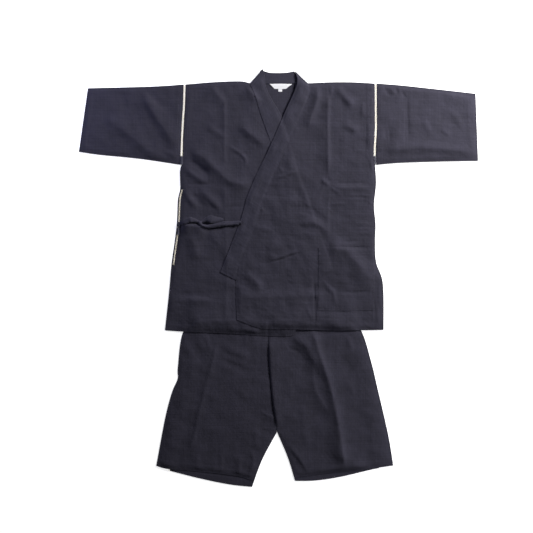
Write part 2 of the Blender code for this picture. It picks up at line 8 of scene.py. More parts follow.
import bpy
import numpy as np
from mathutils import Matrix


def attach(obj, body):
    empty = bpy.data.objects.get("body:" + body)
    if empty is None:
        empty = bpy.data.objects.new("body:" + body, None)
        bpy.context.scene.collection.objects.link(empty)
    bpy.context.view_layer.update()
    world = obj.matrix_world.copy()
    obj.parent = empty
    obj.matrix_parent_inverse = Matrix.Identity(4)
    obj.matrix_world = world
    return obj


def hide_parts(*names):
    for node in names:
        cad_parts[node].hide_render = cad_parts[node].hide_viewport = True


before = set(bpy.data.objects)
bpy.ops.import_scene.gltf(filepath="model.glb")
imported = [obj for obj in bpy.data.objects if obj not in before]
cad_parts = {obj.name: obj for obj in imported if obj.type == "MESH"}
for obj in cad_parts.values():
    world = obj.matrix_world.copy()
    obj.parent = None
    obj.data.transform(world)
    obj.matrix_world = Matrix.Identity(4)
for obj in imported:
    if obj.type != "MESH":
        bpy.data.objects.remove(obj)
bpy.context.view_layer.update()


# ---------------------------------------------------------------- camera, floor and light
# The set lies on a plain white floor and is seen from straight above through a long lens. A soft light
# stands low beyond the wearer's left shoulder, a weak even light fills the shadows, and a little light falls
# on the right sleeve and on the left leg.
VIEW_WIDTH = 1.599             # metres of floor across the picture
CAMERA_HEIGHT = 3.4
camera = bpy.data.objects.new("camera", bpy.data.cameras.new("camera"))
camera.location = (-0.036, 0.035, CAMERA_HEIGHT)
camera.data.lens = camera.data.sensor_width * CAMERA_HEIGHT / VIEW_WIDTH
camera.data.clip_end = 20.0
bpy.context.collection.objects.link(camera)
bpy.context.scene.camera = camera
bpy.context.scene.view_settings.view_transform = "Standard"

FLOOR_REACH = 6.0              # from its middle to its edges
FLOOR_LEVEL = -0.0004          # just clear of the cloth
floor_mesh = bpy.data.meshes.new("floor")
floor_mesh.from_pydata([(x * FLOOR_REACH, y * FLOOR_REACH, FLOOR_LEVEL)
                        for x, y in ((-1, -1), (1, -1), (1, 1), (-1, 1))], [], [(0, 1, 2, 3)])
floor = bpy.data.objects.new("floor", floor_mesh)
bpy.context.collection.objects.link(floor)
floor_material = bpy.data.materials.new("floor_white")
floor_material.use_nodes = True
floor_shader = floor_material.node_tree.nodes["Principled BSDF"]
floor_shader.inputs["Base Color"].default_value = (0.86, 0.86, 0.87, 1.0)
floor_shader.inputs["Roughness"].default_value = 1.0
floor_shader.inputs["Emission Color"].default_value = (1.0, 1.0, 1.0, 1.0)
floor_shader.inputs["Emission Strength"].default_value = 0.72
floor_mesh.materials.append(floor_material)


def soft_light(name, place, aim, size, watts, colour):
    """A square area light at a place, turned towards the point it lights."""
    lamp = bpy.data.lights.new(name, "AREA")
    lamp.size, lamp.energy, lamp.color = size, watts, colour
    holder = bpy.data.objects.new(name, lamp)
    holder.location = place
    away = np.array(place) - np.array(aim)
    holder.rotation_euler = (math.acos(away[2] / np.linalg.norm(away)), 0.0,
                             math.atan2(away[1], away[0]) + math.pi / 2)
    bpy.context.collection.objects.link(holder)


soft_light("window", (1.42, 1.32, 0.70), (0.0, 0.1, 0.0), 0.45, 96.0, (1.0, 0.985, 0.97))
soft_light("fill", (-0.6, -0.3, 2.6), (0.0, 0.0, 0.0), 2.2, 3.0, (0.93, 0.95, 1.0))
soft_light("sky", (-0.98, 0.70, 0.34), (-0.48, 0.46, 0.0), 0.3, 5.0, (0.66, 0.68, 1.0))
soft_light("low", (0.98, -0.74, 0.34), (0.27, -0.53, 0.0), 0.35, 5.0, (0.94, 0.94, 1.0))
world = bpy.data.worlds.new("studio")
world.use_nodes = True
world.node_tree.nodes["Background"].inputs["Color"].default_value = (0.90, 0.93, 1.0, 1.0)
world.node_tree.nodes["Background"].inputs["Strength"].default_value = 0.07
bpy.context.scene.world = world


# ---------------------------------------------------------------- the shorts' back legs
# Each back leg is cut in one, from the waistband to a turned hem, and lies lowest on the floor. Like all of
# the set it is indigo-navy plain-weave cotton with slubs, thick places in the yarn that show as faint streaks
# along and across the grain. It is matt, a little fuzzy, and crinkled from the wash.
class Wire:
    """A value in a material's nodes: + - * and / on it add Math nodes, and node() adds any other."""

    def __init__(self, tree, socket=None):
        self.tree, self.socket = tree, socket

    def node(self, kind, settings=None, sockets=None, output=0):
        """Add a node, set its settings, then set or link its sockets, and return one of its outputs."""
        made = self.tree.nodes.new("ShaderNode" + kind)
        for name, value in (settings or {}).items():
            setattr(made, name, value)
        for name, value in (sockets or {}).items():
            if isinstance(value, Wire):
                self.tree.links.new(value.socket, made.inputs[name])
            else:
                made.inputs[name].default_value = value
        return Wire(self.tree, made.outputs[output])

    def math(self, operation, first, second):
        return self.node("Math", {"operation": operation}, {0: first, 1: second})

    def blend(self, dark, light):
        """The colour that lies between two others by this share."""
        return self.node("Mix", {"data_type": "RGBA"}, {0: self, 6: (*dark, 1.0), 7: (*light, 1.0)}, output=2)

    def __add__(self, other): return self.math("ADD", self, other)
    def __radd__(self, other): return self.math("ADD", other, self)
    def __sub__(self, other): return self.math("SUBTRACT", self, other)
    def __rsub__(self, other): return self.math("SUBTRACT", other, self)
    def __mul__(self, other): return self.math("MULTIPLY", self, other)
    def __rmul__(self, other): return self.math("MULTIPLY", other, self)


def new_material(name):
    """An empty material, and a wire to the grain: the cloth's own plane, in metres."""
    material = bpy.data.materials.new(name)
    material.use_nodes = True
    return material, Wire(material.node_tree).node("UVMap", {"uv_map": "grain"})


def dress(material, wires, values):
    """Link wires to the sockets of a material's shader, and set plain values on others."""
    shader = material.node_tree.nodes["Principled BSDF"]
    for name, wire in wires.items():
        material.node_tree.links.new(wire.socket, shader.inputs[name])
    for name, value in values.items():
        shader.inputs[name].default_value = value
    return material


def streaks(grain, across, along, detail=2.0):
    """Noise drawn out along the grain: this many features to the metre across it and along it."""
    place = grain.node("Mapping", None, {"Vector": grain, "Scale": (across, along, 1.0)})
    return grain.node("TexNoise", {"noise_dimensions": "2D"},
                      {"Vector": place, "Scale": 1.0, "Detail": detail, "Roughness": 0.55})


def navy_cotton(name, dark, light, roughness=0.93, bump=0.9):
    """Slub cotton: two sets of streaks and a soft mottle tint it; yarns and crinkle roughen its surface."""
    material, grain = new_material(name)
    warp, weft = streaks(grain, 620.0, 16.0), streaks(grain, 14.0, 560.0)
    slub_warp, slub_weft = streaks(grain, 230.0, 7.0, 1.0), streaks(grain, 6.0, 250.0, 1.0)
    mottle = streaks(grain, 26.0, 22.0, 3.0)
    tint = warp * 0.35 + weft * 0.6 + slub_warp * 0.35 + slub_weft * 0.5 + mottle * 0.8 - 0.8
    crinkle = streaks(grain, 130.0, 105.0, 3.0)
    yarn = streaks(grain, 1500.0, 300.0, 1.0) + streaks(grain, 300.0, 1500.0, 1.0)
    relief = (warp + weft) * 0.10 + (slub_warp + slub_weft) * 0.14 + crinkle * 0.42 + yarn * 0.06
    normal = grain.node("Bump", None, {"Strength": bump, "Distance": 0.0011, "Height": relief})
    return dress(material, {"Base Color": tint.blend(dark, light), "Normal": normal,
                            "Roughness": mottle * 0.08 + (roughness - 0.04)},
                 {"Specular IOR Level": 0.22, "Sheen Weight": 0.06, "Sheen Roughness": 0.5})


navy = navy_cotton("navy_slub_cotton", (0.0151, 0.0142, 0.0229), (0.0274, 0.0258, 0.0408))

MM = 0.001
WALL = 0.7                     # one thickness of cloth
CLEAR = 0.1                    # air between two thicknesses
PLY = WALL + CLEAR             # what one thickness adds to the pile
SEAM_INSET = 0.02              # a panel's edge stands this far back from its seam's line
CELL = 1.5                     # side of a cell in the map of the pile
MAP_X, MAP_Y = 645.0, 675.0    # how far the map reaches from its middle
x_axis = np.arange(-MAP_X, MAP_X, CELL)
y_axis = np.arange(-MAP_Y, MAP_Y, CELL)
map_x, map_y = np.meshgrid(x_axis, y_axis)
pile = np.zeros(map_x.shape)   # height over the floor of what has been laid so far


def curve(*points, steps=10):
    """A Catmull-Rom curve through the points: between two of them it is the cubic whose slope at each is
    half the step from the point before to the point after."""
    p = np.array((points[0], *points, points[-1]), float)
    a, b, c, d = (q[:, None, :] for q in (p[:-3], p[1:-2], p[2:-1], p[3:]))
    t = (np.arange(steps) / steps)[None, :, None]
    smooth = 0.5 * (2 * b + (c - a) * t + (2 * a - 5 * b + 4 * c - d) * t ** 2
                    + (3 * b - a - 3 * c + d) * t ** 3)
    return np.vstack((smooth.reshape(-1, 2), p[-1:]))


def aside(points, dx):
    """A line moved sideways by dx."""
    return points + np.array((dx, 0.0))


def way_along(points):
    """Distance along a line to each of its points."""
    return np.concatenate(([0.0], np.cumsum(np.linalg.norm(np.diff(points, axis=0), axis=1))))


def resample(points, count):
    """As many points as asked for, evenly spaced along a line."""
    way = way_along(points)
    at = np.linspace(0.0, way[-1], count)
    return np.column_stack([np.interp(at, way, values) for values in points.T])


def spread(first, last, start=(), end=(), step=3.0, columns=None, rows=None):
    """A panel's grid of points, whose first and last rows are the given lines and whose sides run through
    the start and end points. Coons' rule: the blend of the two rows plus the blend of the two sides, less
    the blend of the four corners."""
    left = np.vstack((first[:1], np.reshape(start, (-1, 2)), last[:1]))
    right = np.vstack((first[-1:], np.reshape(end, (-1, 2)), last[-1:]))
    columns = columns or 1 + max(4, round(max(way_along(first)[-1], way_along(last)[-1]) / step))
    rows = rows or 1 + max(4, round(max(way_along(left)[-1], way_along(right)[-1]) / step))
    head, foot = resample(first, columns)[None], resample(last, columns)[None]
    left, right = resample(left, rows)[:, None], resample(right, rows)[:, None]
    u, v = np.linspace(0, 1, columns)[None, :, None], np.linspace(0, 1, rows)[:, None, None]
    corners = ((1 - v) * ((1 - u) * head[:, :1] + u * head[:, -1:])
               + v * ((1 - u) * foot[:, :1] + u * foot[:, -1:]))
    return (1 - v) * head + v * foot + (1 - u) * left + u * right - corners


def covered(grid):
    """Which cells of the map a grid covers: those past an odd number of crossings of its outline in a row."""
    start = np.vstack((grid[0], grid[1:, -1], grid[-1, -2::-1], grid[-2:0:-1, 0]))[:, :2]
    end = np.roll(start, -1, axis=0)
    rows, sides = np.nonzero((start[None, :, 1] <= y_axis[:, None]) != (end[None, :, 1] <= y_axis[:, None]))
    share = (y_axis[rows] - start[sides, 1]) / (end[sides, 1] - start[sides, 1])
    cross = start[sides, 0] + share * (end[sides, 0] - start[sides, 0])
    flips = np.zeros((len(y_axis), len(x_axis) + 1))
    np.add.at(flips, (rows, np.ceil((cross - x_axis[0]) / CELL).astype(int)), 1)
    return np.cumsum(flips, axis=1)[:, :-1] % 2 == 1


def average(field, reach):
    """The mean of a map over a square that reaches this far to each side, as a difference of running sums."""
    cells = max(1, round(reach / CELL))
    for _ in range(2):
        total = np.pad(field.astype(float), ((cells + 1, cells), (0, 0)), mode="edge").cumsum(axis=0)
        field = ((total[2 * cells + 1:] - total[:-2 * cells - 1]) / (2 * cells + 1)).T
    return field


def lay(*layers, drape=9.0):
    """Add one ply to the pile, as grids and the rise that each gives: whole under a grid, then falling
    softly to nothing over twice the drape past its edge."""
    rise = np.zeros(pile.shape)
    for grid, height in layers:
        reached = average(covered(grid), drape) > 1e-6
        rise = np.maximum(rise, height * average(average(reached, drape / 2), drape / 2))
    pile[:] += rise


def height_at(x, y):
    """The pile's height at points, blended from the four cells round each."""
    column, row = (x - x_axis[0]) / CELL, (y - y_axis[0]) / CELL
    i, j = np.floor(column).astype(int), np.floor(row).astype(int)
    a, b = column - i, row - j
    return ((1 - b) * ((1 - a) * pile[j, i] + a * pile[j, i + 1])
            + b * ((1 - a) * pile[j + 1, i] + a * pile[j + 1, i + 1]))


def rest(grid, wall=WALL):
    """Set a flat grid down on the pile: its points' height is the middle of its wall."""
    x, y = grid[..., 0], grid[..., 1]
    return np.dstack((x, y, height_at(x, y) + wall / 2))


def ease(share):
    """A share from 0 to 1 with a soft start and end: three times its square less twice its cube."""
    share = np.clip(share, 0.0, 1.0)
    return share * share * (3 - 2 * share)


def hem(grid, depth, thick=0.3):
    """Lift a grid near its last row, where the hem is turned under, with a valley along its stitching: by
    thick times a soft step from 2 mm short of the hem's depth to 3 mm past it, less 0.7 thick times
    exp(-((distance - depth) / 1.7) ** 2)."""
    steps = np.linalg.norm(np.diff(grid[..., :2], axis=0), axis=2)
    away = np.vstack((np.cumsum(steps[::-1], axis=0)[::-1], np.zeros((1, grid.shape[1]))))
    raised = grid.copy()
    raised[..., 2] += thick * (ease((depth + 3.0 - away) / 5.0) - 0.7 * np.exp(-((away - depth) / 1.7) ** 2))
    return raised


def unit(vectors):
    return vectors / np.maximum(np.linalg.norm(vectors, axis=-1, keepdims=True), 1e-9)


def shell(grid, wall=WALL, band=False):
    """A closed wall about a grid: half the wall to each side along the grid's normals, and a rounded rim
    whose middle stands out from the edge by two fifths of the wall. Returns its points, faces and grain.
    The grain is where the points lie, or for a band the distances across and along it."""
    normal = np.cross(np.gradient(grid, axis=0), np.gradient(grid, axis=1))
    if normal[-3:, :, 2].mean() < 0:
        grid, normal = grid[:, ::-1], -normal[:, ::-1]
    normal = unit(normal)
    rows, columns = grid.shape[:2]
    out = np.zeros(grid.shape)
    out[0] += unit(grid[0] - grid[1])
    out[-1] += unit(grid[-1] - grid[-2])
    out[:, 0] += unit(grid[:, 0] - grid[:, 1])
    out[:, -1] += unit(grid[:, -1] - grid[:, -2])
    index = np.arange(rows * columns).reshape(rows, columns)
    ring = np.concatenate((index[0], index[1:, -1], index[-1, -2::-1], index[-2:0:-1, 0]))
    middle = (grid + 0.4 * wall * unit(out)).reshape(-1, 3)[ring]
    points = np.vstack(((grid + normal * wall / 2).reshape(-1, 3), (grid - normal * wall / 2).reshape(-1, 3),
                        middle))
    low, mid = rows * columns, 2 * rows * columns + np.arange(len(ring))
    quads = np.stack((index[:-1, :-1], index[1:, :-1], index[1:, 1:], index[:-1, 1:]), -1).reshape(-1, 4)
    after, mid_after = np.roll(ring, -1), np.roll(mid, -1)
    faces = np.vstack((quads, quads[:, ::-1] + low,
                       np.stack((ring, after, mid_after, mid), -1),
                       np.stack((mid, mid_after, after + low, ring + low), -1)))
    grain = grid[..., :2]
    if band:
        across = np.linalg.norm(grid[0, 0] - grid[0, -1]) * np.linspace(-0.5, 0.5, columns)
        along = way_along(grid[:, columns // 2])
        grain = np.dstack(np.meshgrid(across, along))
    grain = grain.reshape(-1, 2)
    return points, [faces], np.vstack((grain, grain, grain[ring]))


def make_object(name, parts, material):
    """One smooth mesh object from parts: each is its points, its arrays of faces, and its grain."""
    points, grain = np.vstack([part[0] for part in parts]), np.vstack([part[2] for part in parts])
    starts = np.cumsum([0] + [len(part[0]) for part in parts])
    faces = [face for part, start in zip(parts, starts) for kind in part[1]
             for face in (kind + start).tolist()]
    mesh = bpy.data.meshes.new(name)
    mesh.from_pydata((points * MM).tolist(), [], faces)
    corners = np.empty(len(mesh.loops), np.int32)
    mesh.loops.foreach_get("vertex_index", corners)
    mesh.uv_layers.new(name="grain").data.foreach_set("uv", (grain * MM)[corners].ravel())
    mesh.shade_smooth()
    mesh.materials.append(material)
    made = bpy.data.objects.new(name, mesh)
    bpy.context.collection.objects.link(made)
    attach(made, "root")
    return made


def cut_area(grids):
    """The flat area of panels, in square metres: half the cross product of each cell's diagonals."""
    total = 0.0
    for grid in grids:
        first, second = grid[1:, 1:] - grid[:-1, :-1], grid[1:, :-1] - grid[:-1, 1:]
        total += 0.5 * np.linalg.norm(np.cross(first, second), axis=2).sum()
    return round(total * MM * MM, 5)


def cloth(name, node, grids, material=navy, wall=WALL,
          band=False):
    """A piece of cloth: shells about its grids, standing for its node, which it hides. Its cut area is worked
    out, and not kept.
    """
    made = make_object(name, [shell(grid, wall, band) for grid in grids], material)
    made.data.set_sharp_from_angle(angle=0.7)
    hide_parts(node)
    cut_area(grids)
    return made


LEG_WRAP = 36.0                # how far the front turns over to the back at the leg's side
LEG_LACE = 4.8                 # width of the lace in the leg's side seam
BACK_SEAM = 0.15               # from the centre seam's line to each back
HEM_LEG = 24.0                 # depth of the turned hem
SIDES = {"right": -1, "left": 1}    # the wearer's sides, and which way along X each lies
outer = {"right": curve((-240, -118), (-286.5, -164), (-301.5, -269), (-302, -302), (-319.5, -344),
                        (-340.5, -425), (-366, -563)),
         "left": curve((200, -118), (247.5, -158), (277.5, -251), (295.5, -326), (328.5, -470),
                       (343.5, -562))}
centre_seam = curve((-26, -118), (-31.5, -215), (-25.5, -305), (-18, -380), (-4.5, -461))
inner = {"right": curve((-4.5, -461), (-49.5, -545), (-79.5, -626)),
         "left": curve((-4.5, -461), (28.5, -539), (49.5, -608))}
leg_back_hem = {"right": curve((-325.5, -578), (-235, -601), (-145.5, -619), (-79.5, -626)),
                "left": curve((300.5, -570), (274.5, -575), (184.5, -596), (109.5, -607), (49.5, -608))}
back_in = LEG_WRAP + LEG_LACE + 2 * SEAM_INSET


def side_hem(grid, depth):
    """A hem along a grid's last column."""
    return hem(grid.swapaxes(0, 1), depth).swapaxes(0, 1)


leg_back, leg_low = {}, {}
for side, way in SIDES.items():
    lace_edge = np.vstack((aside(outer[side][:-1], -way * back_in), leg_back_hem[side][:1]))
    inner_edge = np.vstack((aside(centre_seam, way * BACK_SEAM), inner[side][2:]))
    leg_back[side] = spread(lace_edge, inner_edge, end=leg_back_hem[side], step=5.0)
    leg_low[side] = cloth(f"leg_back_{side}_cloth", f"leg_back_{side}",
                          [side_hem(rest(leg_back[side]), HEM_LEG)])
lay(*((leg_back[side], PLY) for side in SIDES),
    *((spread(outer[side], aside(outer[side], -way * LEG_WRAP)), PLY) for side, way in SIDES.items()),
    drape=16.0)


# ---------------------------------------------------------------- the shorts' side lace
# Spun cream cotton cord, crossed like a ladder between two cloth edges, joins each back leg to the front that
# turns round to it. It is worked from the waistband down to the hem, and lies on the back.
def threads(starts, ends, radius, arch=0.2, rings=3, sides=6):
    """Many short closed threads at once, from their starts to their ends. A thread's middle arches up as a
    parabola, and its radius is (1 - |2s - 1| ** 4) ** 0.5 of the full one at the share s of its length."""
    s = (0.5 + 0.44 * np.linspace(-1, 1, rings))[None, :, None]
    turn = np.arange(sides) * 2 * math.pi / sides
    axis = ends - starts
    side = unit(np.cross(axis, (0.0, 0.0, 1.0)))
    lift = unit(np.cross(side, axis))
    middle = starts[:, None] + s * axis[:, None] + 4 * arch * s * (1 - s) * lift[:, None]
    swell = radius * np.sqrt(1 - np.abs(2 * s - 1) ** 4)
    around = (np.cos(turn)[:, None] * side[:, None, None] + np.sin(turn)[:, None] * lift[:, None, None])
    points = (middle[:, :, None] + swell[:, :, None] * around).reshape(len(starts), -1, 3)
    points = np.concatenate((points, starts[:, None], ends[:, None]), axis=1)
    each = rings * sides + 2
    here = np.arange(rings * sides).reshape(rings, sides)
    after = np.roll(here, -1, axis=1)
    quads = np.stack((here[:-1], here[1:], after[1:], after[:-1]), -1).reshape(-1, 4)
    nose = np.stack((here[0], after[0], np.full(sides, each - 2)), -1)
    tail = np.stack((after[-1], here[-1], np.full(sides, each - 1)), -1)
    base = (np.arange(len(starts)) * each)[:, None, None]
    points = points.reshape(-1, 3)
    return (points, [(quads + base).reshape(-1, 4), (np.vstack((nose, tail)) + base).reshape(-1, 3)],
            points[:, :2])


def thread_material(name, dark, light, roughness):
    """Spun thread: fine diagonal plies in its relief, and a slow change of tone from yarn to yarn."""
    material, grain = new_material(name)
    place = grain.node("TexCoord", output=3)
    plies = grain.node("TexWave", {"bands_direction": "DIAGONAL"},
                       {"Vector": place, "Scale": 420.0, "Distortion": 1.5, "Detail": 1.0}, output=1)
    tone = grain.node("TexNoise", None, {"Vector": place, "Scale": 160.0, "Detail": 2.0})
    normal = grain.node("Bump", None, {"Strength": 0.6, "Distance": 0.0003, "Height": plies})
    return dress(material, {"Base Color": (tone * 1.6 - 0.3).blend(dark, light), "Normal": normal},
                 {"Roughness": roughness, "Specular IOR Level": 0.3})


cream = thread_material("cream_cotton_cord", (0.66, 0.60, 0.47), (0.86, 0.82, 0.70), 0.8)


BAR, SIDE_CORD = 0.66, 0.5     # radius of the lace's bars, and of the cord down each side


def ladder(name, node, centre, width_top, width_low, level, with_back=None, pitch=3.5):
    """Ladder lace along a line: a cord down each side, in short lengths that lap by a quarter, and bars
    across that tilt to and fro. Its width runs evenly from the top's to the foot's, and level gives its
    height over the floor at its points."""
    count = 1 + round(way_along(centre)[-1] / pitch)
    parts = []
    for line, heights in filter(None, ((centre, level), with_back)):
        spots = resample(np.column_stack((line, heights)), count)
        ahead = unit(np.gradient(spots[:, :2], axis=0))
        across = np.column_stack((-ahead[:, 1], ahead[:, 0]))
        half = np.linspace(width_top, width_low, count)[:, None] / 2
        tilt = np.where(np.arange(count) % 2 == 0, 0.7, -0.7)[:, None] * ahead
        left = np.column_stack((spots[:, :2] + across * half * 0.96 + tilt, spots[:, 2]))
        right = np.column_stack((spots[:, :2] - across * half * 0.96 - tilt, spots[:, 2]))
        parts.append(threads(left[1:-1], right[1:-1], BAR, arch=0.3, rings=4))
        for side in (-1, 1):
            edge = np.column_stack((spots[:, :2] + side * across * half * 0.8, spots[:, 2] + 0.1))
            lapped = edge[1:] + 0.25 * (edge[1:] - edge[:-1])
            parts.append(threads(edge[:-1], lapped, SIDE_CORD, arch=0.1, rings=3))
    made = make_object(name, parts, cream)
    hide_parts(node)
    return made


LACE_LEVEL = 0.6               # from the floor to the middle of the cord
LACE_RISE = 1.1                # what the lace adds to the pile
lace_foot = {"right": (-327.6, -578.5), "left": (304.0, -568.0)}
lace_middle = LEG_WRAP + SEAM_INSET + LEG_LACE / 2
lace_line, leg_lace = {}, {}
for side, way in SIDES.items():
    lace_line[side] = np.vstack((aside(outer[side][:-1], -way * lace_middle), [lace_foot[side]]))
    leg_lace[side] = ladder(f"leg_lace_{side}", f"leg_lacing_{side}", lace_line[side], LEG_LACE, LEG_LACE,
                            np.full(len(lace_line[side]), LACE_LEVEL))
lay(*((spread(aside(line, -2.0), aside(line, 2.0)), LACE_RISE) for line in lace_line.values()), drape=14.0)


# ---------------------------------------------------------------- the shorts' front legs
# Each front leg turns over at the side, so that its lace seam lies out of sight on the back. The fronts hold
# a little air. They keep the creases of having been folded in store, and gather towards the centre seam.
def fold_over(front, back, rows=7):
    """Join two grids that start from the same line: the back's rows in reverse, then a half circle of rows
    round the fold, then the front's rows."""
    high, low = front[0], back[0]
    out = unit((front[0] - front[1]) * (1, 1, 0))
    half = (high[:, 2:] - low[:, 2:]) / 2
    turn = np.linspace(-math.pi / 2, math.pi / 2, rows + 2)[1:-1, None, None]
    bend = (high + low) / 2 + out * half * np.cos(turn) + np.array((0, 0, 1)) * half * np.sin(turn)
    return np.vstack((back[::-1], bend, front))


def on_floor(grid):
    """Set a flat grid down on the floor: its points' height is half a wall."""
    return np.dstack((grid, np.full(grid.shape[:2], WALL / 2)))


def near(spine, reach):
    """The part of the map within reach of a line. Returns its rows and columns, each cell's distance from
    the line, that distance again with a minus on the line's right, and how far along the line it lies."""
    (x0, y0), (x1, y1) = spine.min(axis=0) - reach, spine.max(axis=0) + reach
    part = (slice(*np.searchsorted(y_axis, (y0, y1))), slice(*np.searchsorted(x_axis, (x0, x1))))
    x, y = map_x[part], map_y[part]
    nearest, across, along = np.full(x.shape, 1e9), np.zeros(x.shape), np.zeros(x.shape)
    for a, b, done in zip(spine[:-1], spine[1:], way_along(spine)):
        step = b - a
        size = np.hypot(*step)
        t = np.clip(((x - a[0]) * step[0] + (y - a[1]) * step[1]) / size ** 2, 0.0, 1.0)
        dx, dy = x - a[0] - t * step[0], y - a[1] - t * step[1]
        away = np.hypot(dx, dy)
        closer = away < nearest
        nearest = np.where(closer, away, nearest)
        across = np.where(closer, np.sign(step[0] * dy - step[1] * dx) * away, across)
        along = np.where(closer, done + t * size, along)
    return part, nearest, across, along


def creases(table):
    """The map of a table of folds. Each runs along a curve through its points. Across it the height falls
    as exp(-(distance / width) ** sharpness), with its own width to the left and to the right of the way it
    runs, and it fades in and out at its ends."""
    total = np.zeros(pile.shape)
    for _, points, left, right, height, sharpness in table:
        spine = curve(*points, steps=6)
        part, nearest, across, along = near(spine, 3 * max(left, right))
        length = way_along(spine)[-1]
        soft = np.sqrt(nearest ** 2 + 1.0) - 1.0
        fade = min(0.35, 45.0 / length) * length
        total[part] += (height * np.exp(-(soft / np.where(across > 0, left, right)) ** sharpness)
                        * ease(along / fade) * ease((length - along) / fade))
    return total


def unevenness(size, seed, waves=16):
    """A soft random map of about ±1: plane waves of nearly one size, each at its own turn and phase."""
    chance = np.random.default_rng(seed)
    total = np.zeros(pile.shape)
    turns, phases = chance.uniform(0, 2 * math.pi, waves), chance.uniform(0, 2 * math.pi, waves)
    lengths = size * chance.uniform(0.7, 1.5, waves)
    for turn, phase, length in zip(turns, phases, lengths):
        total += np.sin((map_x * math.cos(turn) + map_y * math.sin(turn)) * 2 * math.pi / length + phase)
    return total / math.sqrt(waves)


def air_under(grids, table, loft, seed, fade=34.0, ripple=0.9):
    """Lift the pile under panels that are about to be laid: the air they hold, their folds, and the small
    unevenness of washed cotton. All of it dies out towards the panels' common edge, and never goes below
    what lies there already: the lift is a third of log(1 + e to 3 times its sum)."""
    union = np.zeros(pile.shape, bool)
    for grid in grids:
        union |= covered(grid)
    inner = ease(2 * average(average(union, fade / 2), fade / 2) - 0.75)
    edge = ease(2 * average(average(union, 7.0), 7.0) - 0.95)
    rough = (0.55 * unevenness(95.0, seed) + 0.30 * unevenness(38.0, seed + 1)
             + 0.12 * unevenness(15.0, seed + 2))
    air = (loft * inner + (0.4 * edge + 0.6 * inner) * creases(table)
           + ripple * rough * (0.3 * edge + 0.7 * inner))
    pile[:] += edge * np.logaddexp(0.0, 3.0 * air) / 3.0


FRONT_SEAM = 0.8               # from the centre seam's line to each front
leg_front_hem = {"right": curve((-366, -563), (-331.5, -572), (-235.5, -580), (-124.5, -593), (-82, -606)),
                 "left": curve((343.5, -562), (244.5, -575), (154.5, -584), (64.5, -596), (47, -601))}
short_by = {"right": 3, "left": 2}    # points of the inner leg's line that lie below the front's hem
leg_front, wrap = {}, {}
for side, way in SIDES.items():
    inner_edge = np.vstack((aside(centre_seam, way * FRONT_SEAM), inner[side][2:-short_by[side]],
                            leg_front_hem[side][-1:]))
    leg_front[side] = spread(outer[side], inner_edge, end=leg_front_hem[side])
    wrap[side] = spread(outer[side], aside(outer[side], -way * LEG_WRAP), columns=leg_front[side].shape[1])
LEG_FOLDS = (
    # name, points from the top down, width to the left and right of the way it runs, height, sharpness
    ("pressed left", ((96, -146), (107, -174), (115, -200), (126.5, -238), (148, -302), (166, -371),
                      (181, -452), (194, -538), (201, -578)), 13, 21, 7.6, 1.2),
    ("top roll left", ((26, -176), (60, -186), (84, -206), (104, -244), (120, -290)), 20, 16, 4, 1.5),
    ("beside pressed left", ((97.5, -245), (103.5, -299), (112.5, -341), (130.5, -374), (154.5, -410)),
     7, 12, 1.6, 1.6),
    ("hem lift left", ((96, -604), (160, -590), (215, -576), (280, -560)), 36, 10, 2.6, 1.5),
    ("hem rise left", ((166, -430), (176, -500), (186, -575)), 12, 20, 1.6, 1.8),
    ("top bend left", ((24, -206), (50, -217), (74, -231)), 6, 6, -1.2, 2),
    ("thigh valley left", ((184.5, -230), (202.5, -260), (226.5, -284)), 9, 14, -1.9, 2),
    ("thigh rise left", ((196, -300), (218, -330), (236, -352)), 12, 10, 1.2, 2),
    ("inner line left", ((25.5, -488), (46.5, -521), (67.5, -548), (91.5, -590)), 9, 5, 2.1, 1.4),
    ("inner column left", ((70, -360), (76, -440), (84, -520)), 11, 9, 1.1, 2),
    ("knee nick left", ((30, -300), (38, -345), (36, -380)), 7, 8, 0.9, 2),
    ("pressed right", ((-184.5, -176), (-190.5, -221), (-202.5, -269), (-217.5, -320), (-229.5, -371),
                       (-241.5, -419), (-250.5, -464), (-268.5, -521)), 8, 7, 1.7, 1.3),
    ("hip valley right", ((-277, -166), (-253.5, -206), (-232.5, -239), (-214, -262)), 15, 12, -2.3, 2),
    ("lap ridge right", ((-175.5, -203), (-130.5, -221), (-79.5, -239)), 14, 9, 1.6, 2),
    ("lap valley right", ((-184.5, -236), (-151.5, -254), (-115.5, -269), (-73.5, -287)),
     8, 10, -1.4, 2),
    ("thigh fold right", ((-132, -318), (-112, -345), (-84, -372)), 10, 9, 1, 2),
    ("hem fold one", ((-169.5, -512), (-171, -550), (-169.5, -595)), 5, 6, 1.2, 1.6),
    ("hem fold two", ((-109.5, -524), (-118.5, -560), (-115.5, -597)), 6, 9, 1.9, 1.6),
    ("hem fold three", ((-88.5, -503), (-76.5, -539), (-79.5, -569), (-94.5, -605)), 6, 4, 1.5, 1.5),
    ("hem fold four", ((-246, -526), (-240, -560), (-230, -585)), 8, 11, 1.2, 2),
    ("inner swell right", ((-74, -440), (-66, -480), (-72, -520)), 12, 9, 1.3, 2),
    ("centre rise", ((-26, -166), (-27.5, -215), (-21.5, -305), (-14, -380), (-1, -459)),
     42, 4.5, 4, 1.2),
    ("centre seam", ((-29, -120), (-31.5, -215), (-25.5, -305), (-18, -380), (-5, -459)),
     3, 4, -1.6, 1.6),
    ("crotch gather high", ((-60, -395), (-30, -412), (4, -428)), 4, 4, 0.7, 2),
    ("crotch gather low", ((-52, -448), (-28, -452), (-6, -456)), 4, 4, 0.6, 2),
    ("waist gather one", ((-222, -165), (-212, -190), (-204, -222)), 6, 7, 1.1, 2),
    ("waist gather two", ((-100, -160), (-98, -185), (-103, -205)), 6, 6, 0.8, 2),
    ("waist gather three", ((204, -165), (212, -190), (222, -215)), 6, 8, 1.1, 2),
)
air_under(leg_front.values(), LEG_FOLDS, 1.5, 11)
